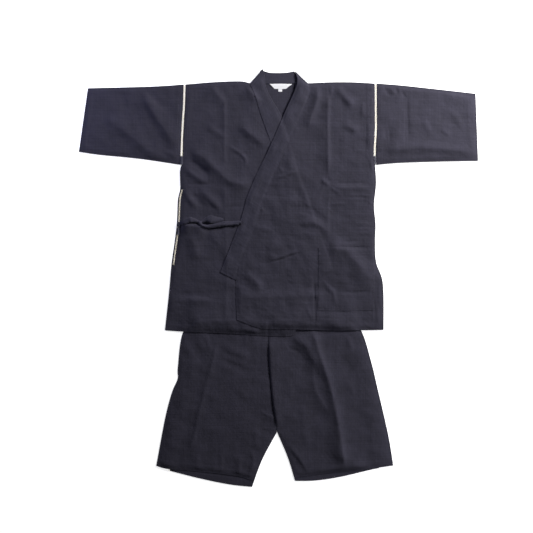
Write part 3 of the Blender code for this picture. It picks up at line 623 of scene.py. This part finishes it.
for side in SIDES:
    cloth(f"leg_front_{side}_cloth", f"leg_front_{side}",
          [fold_over(side_hem(rest(leg_front[side]), HEM_LEG), on_floor(wrap[side]))])
lay(*((leg_front[side], PLY) for side in SIDES))


# ---------------------------------------------------------------- the shorts' waistband
# A casing folded from a straight strip, with elastic in it that draws it into small even gathers. It lies
# under the jacket's hem, and the legs hang from it.
GATHER = 8.5                   # from one gather of the casing to the next
WAIST_FACES = (3.4, 1.05)      # height over the floor of the casing's front and of its back
WAIST_RISE = 4.4               # what the casing adds to the pile
band_top, band_low = curve((-236, -84), (198, -84)), curve((-238, -117.7), (200, -117.7))
waist = spread(band_top, band_low, step=2.2, rows=9)


def gathered(grid, level):
    """A face of the casing: ripples across it that deepen towards its stitched edge."""
    u, v = np.meshgrid(np.linspace(0, 1, grid.shape[1]), np.linspace(0, 1, grid.shape[0]))
    ripple = np.sin(2 * math.pi * grid[..., 0] / GATHER + 1.1 * np.sin(grid[..., 0] / 23.0))
    puff = np.sin(math.pi * np.clip(v, 0.02, 0.98))
    return np.dstack((grid, level + 0.45 * puff + 0.32 * ripple * (0.4 + 0.6 * v)))


waistband = cloth("waistband_cloth", "waistband",
                  [fold_over(*(gathered(waist, level) for level in WAIST_FACES))])
lay((waist, WAIST_RISE), drape=28.0)


# ---------------------------------------------------------------- the jacket's back and sleeves' backs
# Each half of the body is one width of cloth, back and front in one, turned over at the shoulder. The two
# widths are joined down the middle of the back, and hold a few low creases. Each sleeve is a straight width
# folded along its top.
armhole = {"right": curve((-281.8, 580), (-283.5, 520), (-286.5, 475), (-289.5, 415), (-291, 366)),
           "left": curve((291.3, 583), (291.6, 505), (291.5, 445), (289, 400), (288, 366))}
LACE_HALF = 3.0                # from the middle of the armhole's lace to the cloth at each side
side_right = curve((-290.5, 340), (-295.5, 320), (-294.5, 270), (-301.5, 235), (-304.5, 169),
                   (-310.5, 115), (-321, 40), (-327.5, -35), (-340.5, -156))
side_left = curve((289.5, 340), (292.5, 283), (286.5, 220), (291, 160), (289.5, 115), (292.5, 49),
                  (313, -17), (315, -155))
CENTRE = -4.5                  # the middle of the back
shoulder_right = curve((-278.8, 580), (-200, 587), (-116, 590), (-86.3, 584))
shoulder_left = curve((88.8, 584), (154.5, 587), (225, 587), (288.3, 583))
back_hem_right = curve((-339.5, -150), (-180, -151), (CENTRE - SEAM_INSET, -150))
back_hem_left = curve((CENTRE + SEAM_INSET, -150), (160, -151), (314.5, -150))
neck_right = np.vstack((shoulder_right, [(CENTRE - SEAM_INSET, 584)]))
neck_left = np.vstack(([(CENTRE + SEAM_INSET, 584)], shoulder_left))
back = {"right": spread(neck_right, back_hem_right, step=7.0,
                        start=np.vstack((aside(armhole["right"], LACE_HALF), side_right[:-10]))),
        "left": spread(neck_left, back_hem_left, step=7.0,
                       end=np.vstack((aside(armhole["left"], -LACE_HALF), side_left[:-10])))}
sleeve_top = {"right": curve((-284.8, 580), (-385.5, 574), (-571.5, 569)),
              "left": curve((294.3, 583), (364.5, 578), (484.5, 565), (591, 553))}
sleeve_low = {"right": curve((-294, 340), (-415.5, 358), (-535.5, 370), (-598.5, 379)),
              "left": curve((293.5, 340), (364.5, 346), (484.5, 350), (598.5, 352))}
sleeve = {side: spread(sleeve_top[side], sleeve_low[side], start=aside(armhole[side], way * LACE_HALF))
          for side, way in SIDES.items()}
BACK_FOLDS = (
    # name, points, width to the left and right of the way it runs, height, sharpness
    ("back middle", ((30, 520), (38, 420), (30, 300), (44, 190)), 18, 12, 0.8, 1.6),
    ("back shoulder left", ((250, 540), (190, 500), (120, 450), (60, 430)), 22, 14, 0.9, 1.5),
    ("back shoulder right", ((-258, 532), (-205, 488), (-150, 452), (-82, 420)), 20, 16, 0.8, 1.6),
    ("back side right", ((-268, 330), (-230, 290), (-170, 262), (-96, 250)), 16, 20, 0.9, 1.5),
    ("back side left", ((262, 300), (222, 268), (150, 240), (90, 236)), 18, 13, 0.7, 1.6),
    ("back waist", ((-240, 150), (-150, 138), (-40, 146), (70, 132), (200, 144)), 12, 10, 0.6, 1.8),
    ("back low right", ((-250, 100), (-232, 20), (-240, -80)), 20, 15, 0.7, 1.6),
    ("back low left", ((180, 90), (196, 0), (186, -96)), 16, 22, 0.8, 1.6),
    ("back hem pull", ((60, -50), (20, -86), (-50, -110)), 12, 14, 0.5, 1.8),
)
air_under(back.values(), BACK_FOLDS, 0.1, 53, ripple=0.4)
BACK_LACE_LIFT = 0.9           # from the pile to the middle of the armhole's cord, on the back
back_level = {side: rest(back[side]) for side in SIDES}
sleeve_back_level = {side: rest(sleeve[side]) for side in SIDES}
back_lace_level = {side: height_at(*armhole[side].T) + BACK_LACE_LIFT for side in SIDES}
lay(*((grid, PLY) for grid in (*back.values(), *sleeve.values())))


# ---------------------------------------------------------------- the back of the collar, and the label
# The collar is a doubled straight band, sewn round the neck. A bare white woven label is stitched below it
# inside the back, with a small size tab under its middle.
BAND_WALL = 1.6                # cloth folded double
navy_band = navy_cotton("navy_slub_cotton_doubled", (0.0157, 0.0148, 0.0242), (0.0283, 0.0268, 0.0430),
                        0.9, 0.7)
BAND_PLY = BAND_WALL + CLEAR


def doubled(name, node, grid, wall=BAND_WALL):
    """A strip of the same cloth folded double: its grain runs along it."""
    return cloth(name, node, [grid], navy_band, wall, band=True)


collar_back = spread(curve((-76, 584.3), (0, 583), (80, 584.3)),
                     curve((-52.5, 624), (-30, 616.5), (-4.5, 615), (24, 616), (46.5, 620)), step=3.0)
collar_back_piece = doubled("collar_back_cloth", "collar_back", rest(collar_back, BAND_WALL))
lay((collar_back, BAND_PLY))


def woven_label():
    """White satin tape: fine ribs across it."""
    material, grain = new_material("white_label")
    ribs = streaks(grain, 60.0, 2600.0, 1.0)
    normal = grain.node("Bump", None, {"Strength": 0.35, "Distance": 0.0003, "Height": ribs})
    return dress(material, {"Base Color": ribs.blend((0.60, 0.60, 0.62), (0.76, 0.76, 0.77)),
                            "Normal": normal}, {"Roughness": 0.5})


label_white = woven_label()
LABEL_WALL = 0.5               # the tape, turned in and sewn down
LABEL_PLY = LABEL_WALL + CLEAR
label = spread(curve((-25.5, 582), (8, 582.6), (40.5, 582)), curve((-12, 568), (6, 567.4), (22.5, 568)),
               step=2.0)
label_piece = cloth("neck_label_tape", "neck_label", [rest(label, LABEL_WALL)],
                    label_white, LABEL_WALL)
lay((label, LABEL_PLY), drape=2.0)
tab = spread(curve((-0.5, 571), (10.5, 571)), curve((-0.5, 559.5), (10.5, 559.5)), step=1.5)
cloth("size_tab_tape", "size_tab", [rest(tab, LABEL_WALL)],
      label_white, LABEL_WALL)
lay((tab, LABEL_PLY), drape=2.0)


# ---------------------------------------------------------------- the right front, which laps under
# The right front lies first, with its okumi, the wedge between the front and the collar, then its length of
# collar band. Its sleeve's front lies level with it. All of them carry the fold marks of storage.
HEM_JACKET = 22.0              # depth of the jacket's turned hem
HEM_CUFF = 20.0                # and of the cuffs'
COLLAR_INSET = 0.12            # from a collar's seam to its band: a little more, because this seam shows
ARM_LACE = (4.0, 6.0)          # width of the armhole's lace at the shoulder and at its foot
LACE_LIFT = 0.8                # from the pile to the middle of a lace's cord
SIDE_LACE_IN = 5.6             # from the jacket's side to the middle of its lace
thread_navy = thread_material("navy_thread", (0.030, 0.029, 0.046), (0.060, 0.058, 0.080), 0.7)


def sewn(lines, puff=0.7, pitch=8.0):
    """Raise the pile in a band about rows of stitches, where the seam's allowance lies under them, but not
    along the rows themselves. Drawn swings between -1 and 1 along a row, about once in a pitch. The rise is
    puff * exp(-(distance / 7) ** 2) * (1 + 0.35 drawn), and each row leaves of it a share of
    1 - (0.65 - 0.3 drawn) * exp(-(distance / 1.9) ** 2)."""
    raised, groove = np.zeros(pile.shape), np.ones(pile.shape)
    for line in lines:
        part, nearest, _, along = near(line, 18.0)
        drawn = np.sin(2 * math.pi * along / pitch + 1.7 * np.sin(along / 31.0))
        raised[part] = np.maximum(raised[part], puff * np.exp(-(nearest / 7.0) ** 2) * (1 + 0.35 * drawn))
        groove[part] *= 1 - (0.65 - 0.3 * drawn) * np.exp(-(nearest / 1.9) ** 2)
    pile[:] += raised * groove


def on_pile(flat_points, lift):
    """Points set at a height over the pile."""
    return np.column_stack((flat_points, height_at(*flat_points.T) + lift))


def stitch_row(line, wall=WALL, length=2.7, gap=1.4, radius=0.27):
    """A row of stitches along a line, standing just over the top of a wall that lies on the pile."""
    places = resample(line, 1 + max(2, round(way_along(line)[-1] / (length + gap))))
    ahead = unit(np.diff(places, axis=0)) * length
    top = wall + 0.1
    return threads(on_pile(places[:-1], top), on_pile(places[:-1] + ahead, top), radius, rings=2, sides=4)


def stitching(name, *rows):
    """All the stitch rows of a panel as one piece."""
    return make_object(name, rows, thread_navy)


TACK_THREAD = 0.62             # radius of a bar tack's thread
TACK_STEP = 0.8                # from one of its stitches to the next


def bar_tack(place, width, top, count):
    """Close stitches across a lace, at a given height: a count of threads side by side, from a place down."""
    steps = np.arange(count)[:, None] * np.array((0.0, -TACK_STEP, 0.0))
    starts = np.array((place[0] - width / 2, place[1], top)) + steps
    return threads(starts, starts + np.array((width, 0.0, 0.0)), TACK_THREAD, arch=0.3)


# sideways from the armhole's lace to each row of stitches
STITCH_ROWS = {"right": (9.5, 15.5, -9.5, -15.5), "left": (10.5, 16.0, -10.5, -20.0)}


def armhole_rows(side):
    """The lines of the rows of stitches beside an armhole's lace."""
    return [aside(armhole[side], dx) for dx in STITCH_ROWS[side]]


def armhole_lace(side):
    """The lace all round an armhole: its front stretch just over the pile as it is now, and its back one."""
    return ladder(f"armhole_lace_{side}", f"lacing_armhole_{side}", armhole[side], *ARM_LACE,
                  height_at(*armhole[side].T) + LACE_LIFT, (armhole[side], back_lace_level[side]))


def body_width(side, front):
    """Half of the jacket's body: its front, set down on the pile and turned over at the shoulder, and its
    back."""
    return cloth(f"body_{side}_cloth", f"jacket_body_{side}",
                 [fold_over(hem(rest(front), HEM_JACKET), on_floor(front[:3])), back_level[side]])


def sleeve_width(side):
    """A sleeve: its front, set down on the pile and joined to its back along the top, both with a cuff's
    hem."""
    return cloth(f"sleeve_{side}_cloth", f"sleeve_{side}",
                 [fold_over(side_hem(rest(sleeve[side]), HEM_CUFF),
                            side_hem(sleeve_back_level[side], HEM_CUFF))])


UNDER_FOLDS = (
    # name, points, width to the left and right of the way it runs, height, sharpness
    ("pressed side", ((-163, 560), (-162, 480), (-162, 400), (-162, 325)), 5, 7, 1.8, 1.25),
    ("pressed side low", ((-161, 290), (-158, 120), (-156, 0), (-158, -150)), 6, 7, 1.1, 1.3),
    ("underarm to collar", ((-275, 383), (-245, 373), (-220, 359), (-196, 335), (-170, 311), (-146, 291),
                            (-121, 283), (-95, 279), (-72, 276)), 22, 19, 6.8, 1.4),
    ("underarm valley", ((-277, 358), (-253, 345), (-223, 322), (-198, 308)), 8, 9, -2.7, 2),
    ("underarm fold", ((-284, 340), (-261, 314), (-228, 294), (-201, 292)), 8, 9, 3, 1.8),
    ("waist line", ((-288, 281), (-240, 282), (-188, 281)), 3.5, 3.5, -1.1, 1.8),
    ("waist fold one", ((-288, 270), (-267, 238), (-243, 206)), 11, 8, 2.8, 1.8),
    ("waist valley", ((-272, 262), (-240, 232), (-215, 208)), 8, 8, -1.7, 2),
    ("waist fold two", ((-243, 272), (-211, 244), (-184, 216), (-160, 190)), 11, 9, 3.1, 1.8),
    ("beside collar", ((-128, 466), (-93, 439), (-61, 415), (-28, 387)), 20, 12, 4.6, 1.6),
    ("chest slant", ((-218, 465), (-185, 436), (-158, 422)), 10, 10, 2.5, 2),
    ("shoulder slant", ((-208, 580), (-185, 552), (-160, 520)), 9, 24, 3.6, 1.7),
    ("neck slant", ((-104, 580), (-78, 550), (-50, 520)), 9, 24, 4.8, 1.6),
    ("shoulder nick", ((-193, 499), (-177, 512), (-161, 526)), 3.5, 3.5, -1.2, 1.8),
    ("chest curve", ((-158, 402), (-130.5, 385), (-109.5, 370), (-97.5, 352), (-100.5, 328)),
     4.5, 5, 1.9, 1.6),
    ("tie line", ((-158, 214), (-127, 214), (-98, 214)), 3.5, 3.5, -1, 2),
    ("under the bow", ((-305, 160), (-250, 156), (-205, 148)), 9, 30, 9, 1.3),
    ("tie pull low", ((-212, 142), (-185, 116), (-162, 98)), 20, 13, 1.9, 2),
    ("hip fold", ((-270, 138), (-254, 96), (-240, 46)), 12, 22, 3.2, 1.8),
    ("low valley", ((-328, -46), (-257, -49), (-186, -52)), 7, 6, -1.1, 2),
    ("low ridge", ((-328, -65), (-257, -67), (-186, -69)), 7, 9, 1.6, 1.7),
    ("low nick", ((-255, -53), (-220, -57), (-186, -62)), 3, 3, -0.7, 2),
    ("lap wedge", ((-120, -146), (-84, -157), (-48, -166)), 10, 5, 2, 1.8),
    ("lap shade", ((-165, -8), (-130, -22), (-98, -42)), 9, 15, 1.4, 2),
    ("hem wave", ((-250, -95), (-236, -130), (-232, -158)), 9, 10, 0.9, 2),
    ("sleeve slant one", ((-408, 560), (-388.5, 520), (-367.5, 487), (-343.5, 454), (-319.5, 415),
                          (-300, 383)), 25, 16, 5.2, 1.6),
    ("sleeve slant two", ((-524, 490), (-469.5, 448), (-433.5, 421), (-406.5, 394), (-370.5, 373),
                          (-340, 355)), 25, 17, 4.2, 1.6),
    ("sleeve top valley one", ((-474, 572), (-466.5, 535), (-452, 495)), 10, 9, -1.7, 2),
    ("sleeve top valley two", ((-399, 578), (-382.5, 547), (-355.5, 523), (-320, 497)), 12, 9, -1.9, 2),
    ("sleeve low edge", ((-352, 381), (-325, 374), (-303, 362)), 9, 7, 1.5, 1.8),
    ("sleeve outer soft", ((-560, 440), (-530, 415), (-505, 385)), 12, 12, 1.1, 2),
    ("cuff bend", ((-566, 565), (-572, 480), (-588, 390)), 7, 7, 0.9, 1.8),
)
okumi_line_under = curve((-71, 549), (-112, 420), (-126, 250), (-126, 80), (-124.5, -167))
collar_line_under = curve((-86, 584), (-71, 549), (-52.5, 490), (-22.5, 406), (12, 295), (42, 220),
                          (72, 130), (106, 49), (118, -5))
inner_line_under = curve((-47, 627), (-41, 600), (-37, 570), (-17, 530), (10, 484), (34, 420), (66, 312),
                         (94, 240), (124, 150), (170, 20))
side_edge_right = np.vstack((side_right[:12], [(-294.6, 276), (-287.8, 270)],
                             aside(side_right[31:61], 7.3), [(-322, 24)], side_right[70:]))
front_right = spread(shoulder_right, curve((-338, -157), (-292.5, -160), (-210, -163), (-125, -167)),
                     start=np.vstack((aside(armhole["right"], LACE_HALF), side_edge_right)),
                     end=np.vstack((aside(collar_line_under[1:10], -SEAM_INSET),
                                    aside(okumi_line_under, -SEAM_INSET))))
okumi_under = spread(curve((-73.4, 541), (-69.6, 541)),
                     curve((-124, -167), (-31.5, -173), (37.5, -173), (52.5, -155)),
                     start=aside(okumi_line_under[2:], SEAM_INSET),
                     end=np.vstack((aside(collar_line_under[13:], -SEAM_INSET), [(84, -82)])))
collar_under = spread(curve((-85.4, 584), (-47, 627)), curve((118.6, -5), (170, 20)),
                      start=aside(collar_line_under, COLLAR_INSET), end=inner_line_under)
air_under((front_right, okumi_under, collar_under, sleeve["right"]), UNDER_FOLDS, 1.6, 23)
sewn(armhole_rows("right"))

arm_lace_right = armhole_lace("right")
# Each stretch of a curve has ten points, so these slices keep whole stretches of the side seams.
side_lace_line = aside(side_right[21:61], SIDE_LACE_IN)
side_lace_high = ladder("side_lace_right", "lacing_side_right", side_lace_line, 3.4, 4.0,
                        height_at(*side_lace_line.T) + LACE_LIFT, pitch=2.4)
# Where the tie is caught in the seam, stitches cover the lace: the place along it, and how many.
side_tacks = [bar_tack((np.interp(y, *side_lace_line[::-1, ::-1].T), y), 7.0, 5.6, count)
              for y, count in ((168, 18), (149, 24))]
stitches_right = stitching("stitches_right", *map(stitch_row, armhole_rows("right")),
                           stitch_row(aside(side_lace_line, 8.0)), *side_tacks,
                           bar_tack(armhole["right"][-1] - (0, 0.5), 9.0, 2.2, 32))
body_right = body_width("right", front_right)
okumi_right = cloth("okumi_under_cloth", "okumi_under", [hem(rest(okumi_under), HEM_JACKET)])
sleeve_width("right")
doubled("collar_under_cloth", "collar_under", rest(collar_under, BAND_WALL))
lay((front_right, PLY), (okumi_under, PLY), (sleeve["right"], PLY), (collar_under, BAND_PLY), drape=24.0)


# ---------------------------------------------------------------- the left front, which laps over
# The left front lies on top, closed to the wearer's right, with its okumi, its length of collar band, and its
# sleeve's front. Its folds are those of storage, and of the pull of the tie.
OVER_FOLDS = (
    # name, points, width to the left and right of the way it runs, height, sharpness
    ("pressed chest", ((151, 565), (149, 541), (148, 440), (149, 370), (150, 300)), 5, 14, 3.6, 1.2),
    ("pressed top", ((158, 586), (157.5, 565), (157.5, 540)), 3.5, 3.5, 1.2, 1.6),
    ("pressed waist", ((150, 262), (147, 180), (149, 100)), 6, 8, 1.1, 1.3),
    ("beside collar", ((112, 582), (117, 545), (107, 510), (96, 480), (82, 444)), 9, 15, 5.2, 1.4),
    ("neck swell", ((16, 546), (46, 545), (76, 541), (94, 536)), 36, 24, 3, 1.6),
    ("okumi seam", ((105, 8), (109, -60), (110.5, -152)), 2.4, 3, -1.8, 1.8),
    ("chest slant one", ((168, 578), (198, 544), (215, 524), (232, 503)), 11, 11, 3.5, 1.8),
    ("chest slant two", ((190, 467), (215, 452), (244, 437)), 13, 10, 3.1, 1.8),
    ("chest nick", ((252, 533), (252, 505), (252, 480)), 4.5, 4.5, 1.3, 1.8),
    ("armhole side", ((270, 482), (271, 430), (271, 372)), 8, 4.5, 1.3, 1.6),
    ("underarm nick", ((273, 364), (279, 338), (284, 312)), 4, 4, 1.3, 1.8),
    ("across chest line", ((155, 284), (220, 285), (290, 284)), 3.5, 3.5, -1.2, 1.7),
    ("across chest", ((152, 279), (190, 271), (244, 271), (288, 264)), 6, 13, 3, 1.5),
    ("chest knot", ((126, 300), (140, 287), (154, 275)), 7, 7, 3.1, 1.6),
    ("chest knot ray one", ((150, 277), (170, 262), (188, 255)), 4.5, 4.5, 1, 2),
    ("chest knot ray two", ((141, 285), (128, 262), (118, 246)), 5, 5, 1.1, 2),
    ("chest knot ray three", ((149, 289), (166, 306), (182, 317)), 4.5, 4.5, 0.9, 2),
    ("collar mark", ((-13, 295), (19.5, 308), (40.5, 316), (64, 321)), 5, 3.5, 2, 1.6),
    ("across collar", ((-76, 263), (-30, 255), (20, 252), (80, 250)), 19, 10, -3.5, 1.9),
    ("lap valley", ((30, 203), (73, 204), (100, 195), (127, 180), (149, 163)), 12, 8, -3.1, 1.9),
    ("lap ridge", ((50, 156), (91, 168), (121, 160), (150, 132)), 9, 10, 2.9, 1.8),
    ("hip ridge", ((138, 112), (169.5, 94), (202.5, 79), (235.5, 43), (268.5, 1), (302, -8)),
     22, 38, 7.2, 1.6),
    ("pocket line", ((150, 97), (214, 92), (288, 90)), 2.6, 2.8, -1.8, 1.6),
    ("pocket nick", ((187, 106), (218, 110), (249, 114)), 4, 4, -1.1, 1.9),
    ("skirt bend", ((123, 6), (153, -32), (163.5, -41), (169.5, -71), (175, -98)), 5, 5.5, 1.7, 1.6),
    ("across skirt", ((163, -41), (228, -42), (295, -41)), 4, 4, -1.3, 1.8),
    ("across skirt middle", ((-128, -53), (-60, -55), (20, -53), (90, -52), (155, -50)), 14, 9, 2.7, 1.6),
    ("across skirt nick", ((-64, -45), (-40.5, -38), (-14, -28)), 3, 3, -0.9, 2),
    ("front edge bend", ((-104, 22), (-78, -2), (-60, -22), (-54, -54)), 9, 19, 3.3, 1.7),
    ("belly fold", ((-42, 48), (1.5, 59), (28.5, 68), (55.5, 79), (80, 82)), 10, 3.4, 2.6, 1.3),
    ("belly crease", ((-38, 45), (1.5, 56), (28.5, 65), (66, 79)), 2.6, 2.8, -2.4, 1.5),
    ("belly rise", ((-60, 96), (0, 100), (54, 118)), 13, 13, 1.2, 2),
    ("skirt wrinkles", ((84, -82), (92, -104), (98, -128)), 4, 4, 1.1, 2),
    ("tie pull one", ((-96, 176), (-60, 187), (-10, 198)), 7, 8, 1.2, 2),
    ("tie pull two", ((-96, 158), (-55, 150), (0, 134)), 8, 9, 1.1, 2),
    ("collar kink high", ((1, 335), (8, 324), (15, 313)), 3.5, 3.5, 1.2, 2),
    ("collar kink low", ((-56, 213), (-49, 206), (-42, 198)), 3.5, 3.5, 1.1, 2),
    ("pucker one", ((198, 247), (240, 249), (283, 244)), 3.5, 3.5, 0.9, 2),
    ("pucker two", ((146, 221), (180, 223), (214, 222)), 4, 3.5, 1.2, 1.8),
    ("pucker three", ((204, 235), (244, 236), (283, 231)), 3.5, 3.5, 0.8, 2),
    ("pucker four", ((180, 190), (235, 193), (284, 186)), 5, 5, 0.6, 2),
    ("pucker five", ((222, 161), (258, 163), (293, 158)), 3.5, 3.5, 0.9, 2),
    ("pucker six", ((228, 146), (262, 147), (292, 142)), 3.5, 3.5, 0.8, 2),
    ("pucker seven", ((224, 132), (260, 134), (291, 130)), 3.5, 3.5, 0.7, 2),
    ("side nick", ((268, 227), (279, 224), (291, 220)), 3, 3, 1.2, 2),
    ("vent line one", ((291, -48), (296, -100), (299, -152)), 3, 3.5, 0.9, 1.8),
    ("vent line two", ((279, -60), (283, -105), (284, -142)), 3, 3, 0.6, 2),
    ("sleeve crease", ((385, 555), (386, 515), (387, 475), (389, 440), (392, 405)), 4, 10, -2, 1.4),
    ("sleeve low", ((312, 381), (364.5, 388), (424.5, 391), (484.5, 388), (544.5, 381), (592, 374)),
     24, 13, 5.2, 1.6),
    ("sleeve pucker one", ((315, 574), (328, 556), (337, 540)), 4, 4.5, -1.2, 1.8),
    ("sleeve pucker two", ((334, 573), (342, 561), (349, 548)), 4.5, 4, 1.2, 1.8),
    ("sleeve pucker three", ((350, 576), (355, 562), (360, 547)), 3.5, 4, -1.1, 1.8),
    ("sleeve pucker four", ((366, 570), (374, 552), (383, 535)), 4, 4.5, -1.3, 1.8),
    ("sleeve slant", ((516, 506), (535.5, 475), (554, 446)), 11, 11, 2, 1.8),
    ("sleeve top edge", ((492, 546), (545, 541), (592, 529)), 9, 14, 2.1, 1.8),
    ("sleeve middle fold", ((434, 488), (445.5, 451), (465, 423)), 9, 10, 1.7, 1.8),
    ("sleeve middle nick", ((484, 450), (500, 437), (516, 425)), 6, 6, 1.3, 1.8),
    ("sleeve inner fold", ((342, 444), (364, 427), (384, 418)), 10, 13, 1.6, 2),
    ("sleeve lace nick one", ((321, 456), (322, 432), (324, 408)), 3, 3.5, -1, 2),
    ("sleeve lace nick two", ((331, 456), (333, 430), (333, 402)), 3, 3.5, -1, 2),
    ("cuff bend", ((566, 548), (570, 470), (577, 372)), 5, 6, 0.8, 1.6),
)
collar_line_over = curve((88.5, 584), (94, 570), (91.5, 550), (64.5, 481), (13.5, 370), (-19.5, 295),
                         (-49.5, 220), (-79.5, 130), (-115.5, 49), (-128, -5))
inner_line_over = curve((49.5, 621), (57, 590), (45, 552), (23, 505), (-21, 404), (-85.5, 265),
                        (-115.5, 168), (-174, 18))
okumi_line_over = curve((91.5, 550), (113, 400), (118, 250), (118.5, 85), (114, -20), (109.5, -155))
front_left = spread(shoulder_left, curve((109.9, -155), (180, -156), (260, -156), (315, -155)),
                    start=np.vstack((aside(collar_line_over[1:20], SEAM_INSET),
                                     aside(okumi_line_over, SEAM_INSET))),
                    end=np.vstack((aside(armhole["left"], -LACE_HALF), side_left)))
okumi_over = spread(curve((87.2, 541), (90.8, 541)),
                    curve((-124.5, -125), (-118.5, -127), (-76.5, -143), (-40.5, -152), (49.5, -153),
                          (109, -155)),
                    start=np.vstack((aside(collar_line_over[23:], SEAM_INSET), [(-127.5, -65)])),
                    end=aside(okumi_line_over[1:], -SEAM_INSET))
collar_over = spread(curve((49.5, 621), (88, 584)), curve((-174, 18), (-128.6, -5)),
                     start=inner_line_over, end=aside(collar_line_over, -COLLAR_INSET))
air_under((front_left, okumi_over, collar_over, sleeve["left"]), OVER_FOLDS, 1.8, 37)
sewn(armhole_rows("left"))


COLLAR_STAND = 2.2             # how far the over collar's free edge stands up beside the neck


def stood_up(grid, height):
    """Raise a collar's free edge, its first column, beside the neck: evenly less towards its seam and 1 mm
    more within a quarter of its width, up to its height and down again over a quarter of its length. All
    along, sink the last fifth of its width by 0.9 mm towards the seam."""
    u, v = np.meshgrid(np.linspace(0, 1, grid.shape[1]), np.linspace(0, 1, grid.shape[0]))
    raised = grid.copy()
    raised[..., 2] += ((height * (1 - u) + 1.0 * (1 - ease(u / 0.25)))
                       * ease(v / 0.03) * (1 - ease((v - 0.10) / 0.15))) - 0.9 * ease((u - 0.8) / 0.2)
    return raised


arm_lace_left = armhole_lace("left")
side_lace_low = aside(side_left[11:51], -SIDE_LACE_IN)
HIDDEN_LACE_LEVEL = 0.7        # from the floor to the middle of the left side's cord, under the front
side_lace_hidden = ladder("side_lace_left", "lacing_side_left", side_lace_low, 4.0, 4.0,
                          np.full(len(side_lace_low), HIDDEN_LACE_LEVEL))
stitches_left = stitching("stitches_left", *map(stitch_row, armhole_rows("left")),
                          bar_tack(armhole["left"][-1] - (0, 0.5), 9.0, 2.4, 32))
body_left = body_width("left", front_left)
okumi_left = cloth("okumi_over_cloth", "okumi_over", [hem(rest(okumi_over), HEM_JACKET)])
sleeve_width("left")
collar_left = doubled("collar_over_cloth", "collar_over",
                      stood_up(rest(collar_over, BAND_WALL), COLLAR_STAND))
lay((front_left, PLY), (okumi_over, PLY), (sleeve["left"], PLY), (collar_over, BAND_PLY))


# ---------------------------------------------------------------- the patch pocket
# One pocket, on the left front: a rectangle with its mouth hemmed deep, stitched on round three sides.
pocket = spread(curve((120, 92), (204, 93), (287, 92)), curve((118, -97), (200, -98), (287, -97)),
                start=[(119, 0)], end=[(287.5, 0)])
POCKET_FOLDS = (
    # name, points, width to the left and right of the way it runs, height, sharpness
    ("pocket bag", ((150, 60), (200, 30), (255, 50)), 30, 30, 0.5, 2),
    ("pocket slant", ((150, 40), (200, -10), (262, -60)), 12, 12, 0.6, 2),
)
air_under((pocket,), POCKET_FOLDS, 0.1, 51, ripple=0.3)
POCKET_MOUTH = 24.0            # depth of the hem at its mouth
POCKET_WALL = 0.5
stitches_pocket = stitching("stitches_pocket", stitch_row(aside(curve((120, 90), (118.4, -96)), 3.0)),
                            stitch_row(curve((121, -94), (285, -94))),
                            stitch_row(curve((284, 90), (284, -95))))
cloth("pocket_cloth", "pocket", [hem(rest(pocket)[::-1], POCKET_MOUTH)],
      wall=POCKET_WALL)
lay((pocket, PLY))


# ---------------------------------------------------------------- the tie
# Two narrow bands of the same cloth, one sewn to the over front's edge and one at the side, tied in a small
# flat bow. Each is a strip folded in four and topstitched.
TIE_WALL = 1.5                 # the strip's four thicknesses, pressed flat
TIE_WIDTH = 9                  # where it lies flat


def ribbon(line, width, lift, crown=1.8):
    """A strip along a line. Its width and its height over the pile run evenly from each given value to the
    next, and its middle stands proud of its edges as a parabola. The pile's height is taken six tenths from
    under its line and four tenths from under each point."""
    count = 1 + round(way_along(line)[-1] / 2.0)
    spine = resample(line, count)
    ahead = unit(np.gradient(spine, axis=0))
    across = np.column_stack((-ahead[:, 1], ahead[:, 0]))
    share = np.linspace(0, 1, count)
    wide = np.interp(share, np.linspace(0, 1, len(width)), width)
    high = np.interp(share, np.linspace(0, 1, len(lift)), lift)
    part = np.linspace(-0.5, 0.5, 9)
    flat = spine[:, None] + across[:, None] * (wide[:, None] * part[None])[..., None]
    base = height_at(spine[:, 0], spine[:, 1])[:, None] * 0.6 + height_at(flat[..., 0], flat[..., 1]) * 0.4
    return np.dstack((flat, base + high[:, None] + TIE_WALL / 2 + crown * (1 - 4 * part[None] ** 2)))


def tie(name, node, line, width, lift):
    """A stretch of the tie, standing for its node."""
    return doubled(name, node, ribbon(line, width, lift), TIE_WALL)


def lay_tie(*lines):
    """Add the tie's stretches along some lines to the pile, each as a strip of even width."""
    lay(*((ribbon(line, (TIE_WIDTH, TIE_WIDTH), (0, 0)), TIE_WALL) for line in lines), drape=4.0)


front_line = curve((-112, 167), (-140, 166), (-165, 165.5), (-190, 166), (-209, 169))
front_tie = tie("tie_front_band", "tie_front", front_line, (10, 9.5, 9, 8.5, 6), (0.2, 0.5, 0.8, 1.2, 1.8))
side_line = curve((-302, 161), (-290, 164.5), (-278, 170), (-265.5, 175), (-251, 173), (-236, 167))
side_tie = tie("tie_side_band", "tie_side", side_line, (11, 12, 14, 15, 10, 5),
               (0.3, 1.4, 5.0, 8.0, 4.6, 1.8))
lay_tie(front_line, side_line)
loop_line = curve((-235, 167), (-223, 172.5), (-207, 177), (-190, 175.5), (-166, 174.5))
tie("tie_front_leaf", "tie_front_loop", loop_line, (4, 12, 23, 16, 10), (1.4, 3.2, 4.6, 2.4, 0.2))
tail_line = curve((-235, 164.5), (-228, 158.5), (-219, 156), (-205, 155.5), (-187, 158), (-157, 161),
                  (-120, 163))
tie("tie_side_tail", "tie_side_loop", tail_line, (4, 8, 11, 11, 9, 8, 7),
    (2.4, 3.4, 3.2, 2.2, 1.0, 0.5, 0.1))
lay_tie(loop_line, tail_line)
knot_line = curve((-243, 171), (-238.5, 169), (-234, 165), (-230, 159.5), (-227, 156))
doubled("tie_knot_cloth", "tie_knot", ribbon(knot_line, (5, 7, 8, 7, 5), (1.2, 2.0, 2.0, 1.4, 0.2), 1.0),
        TIE_WALL)
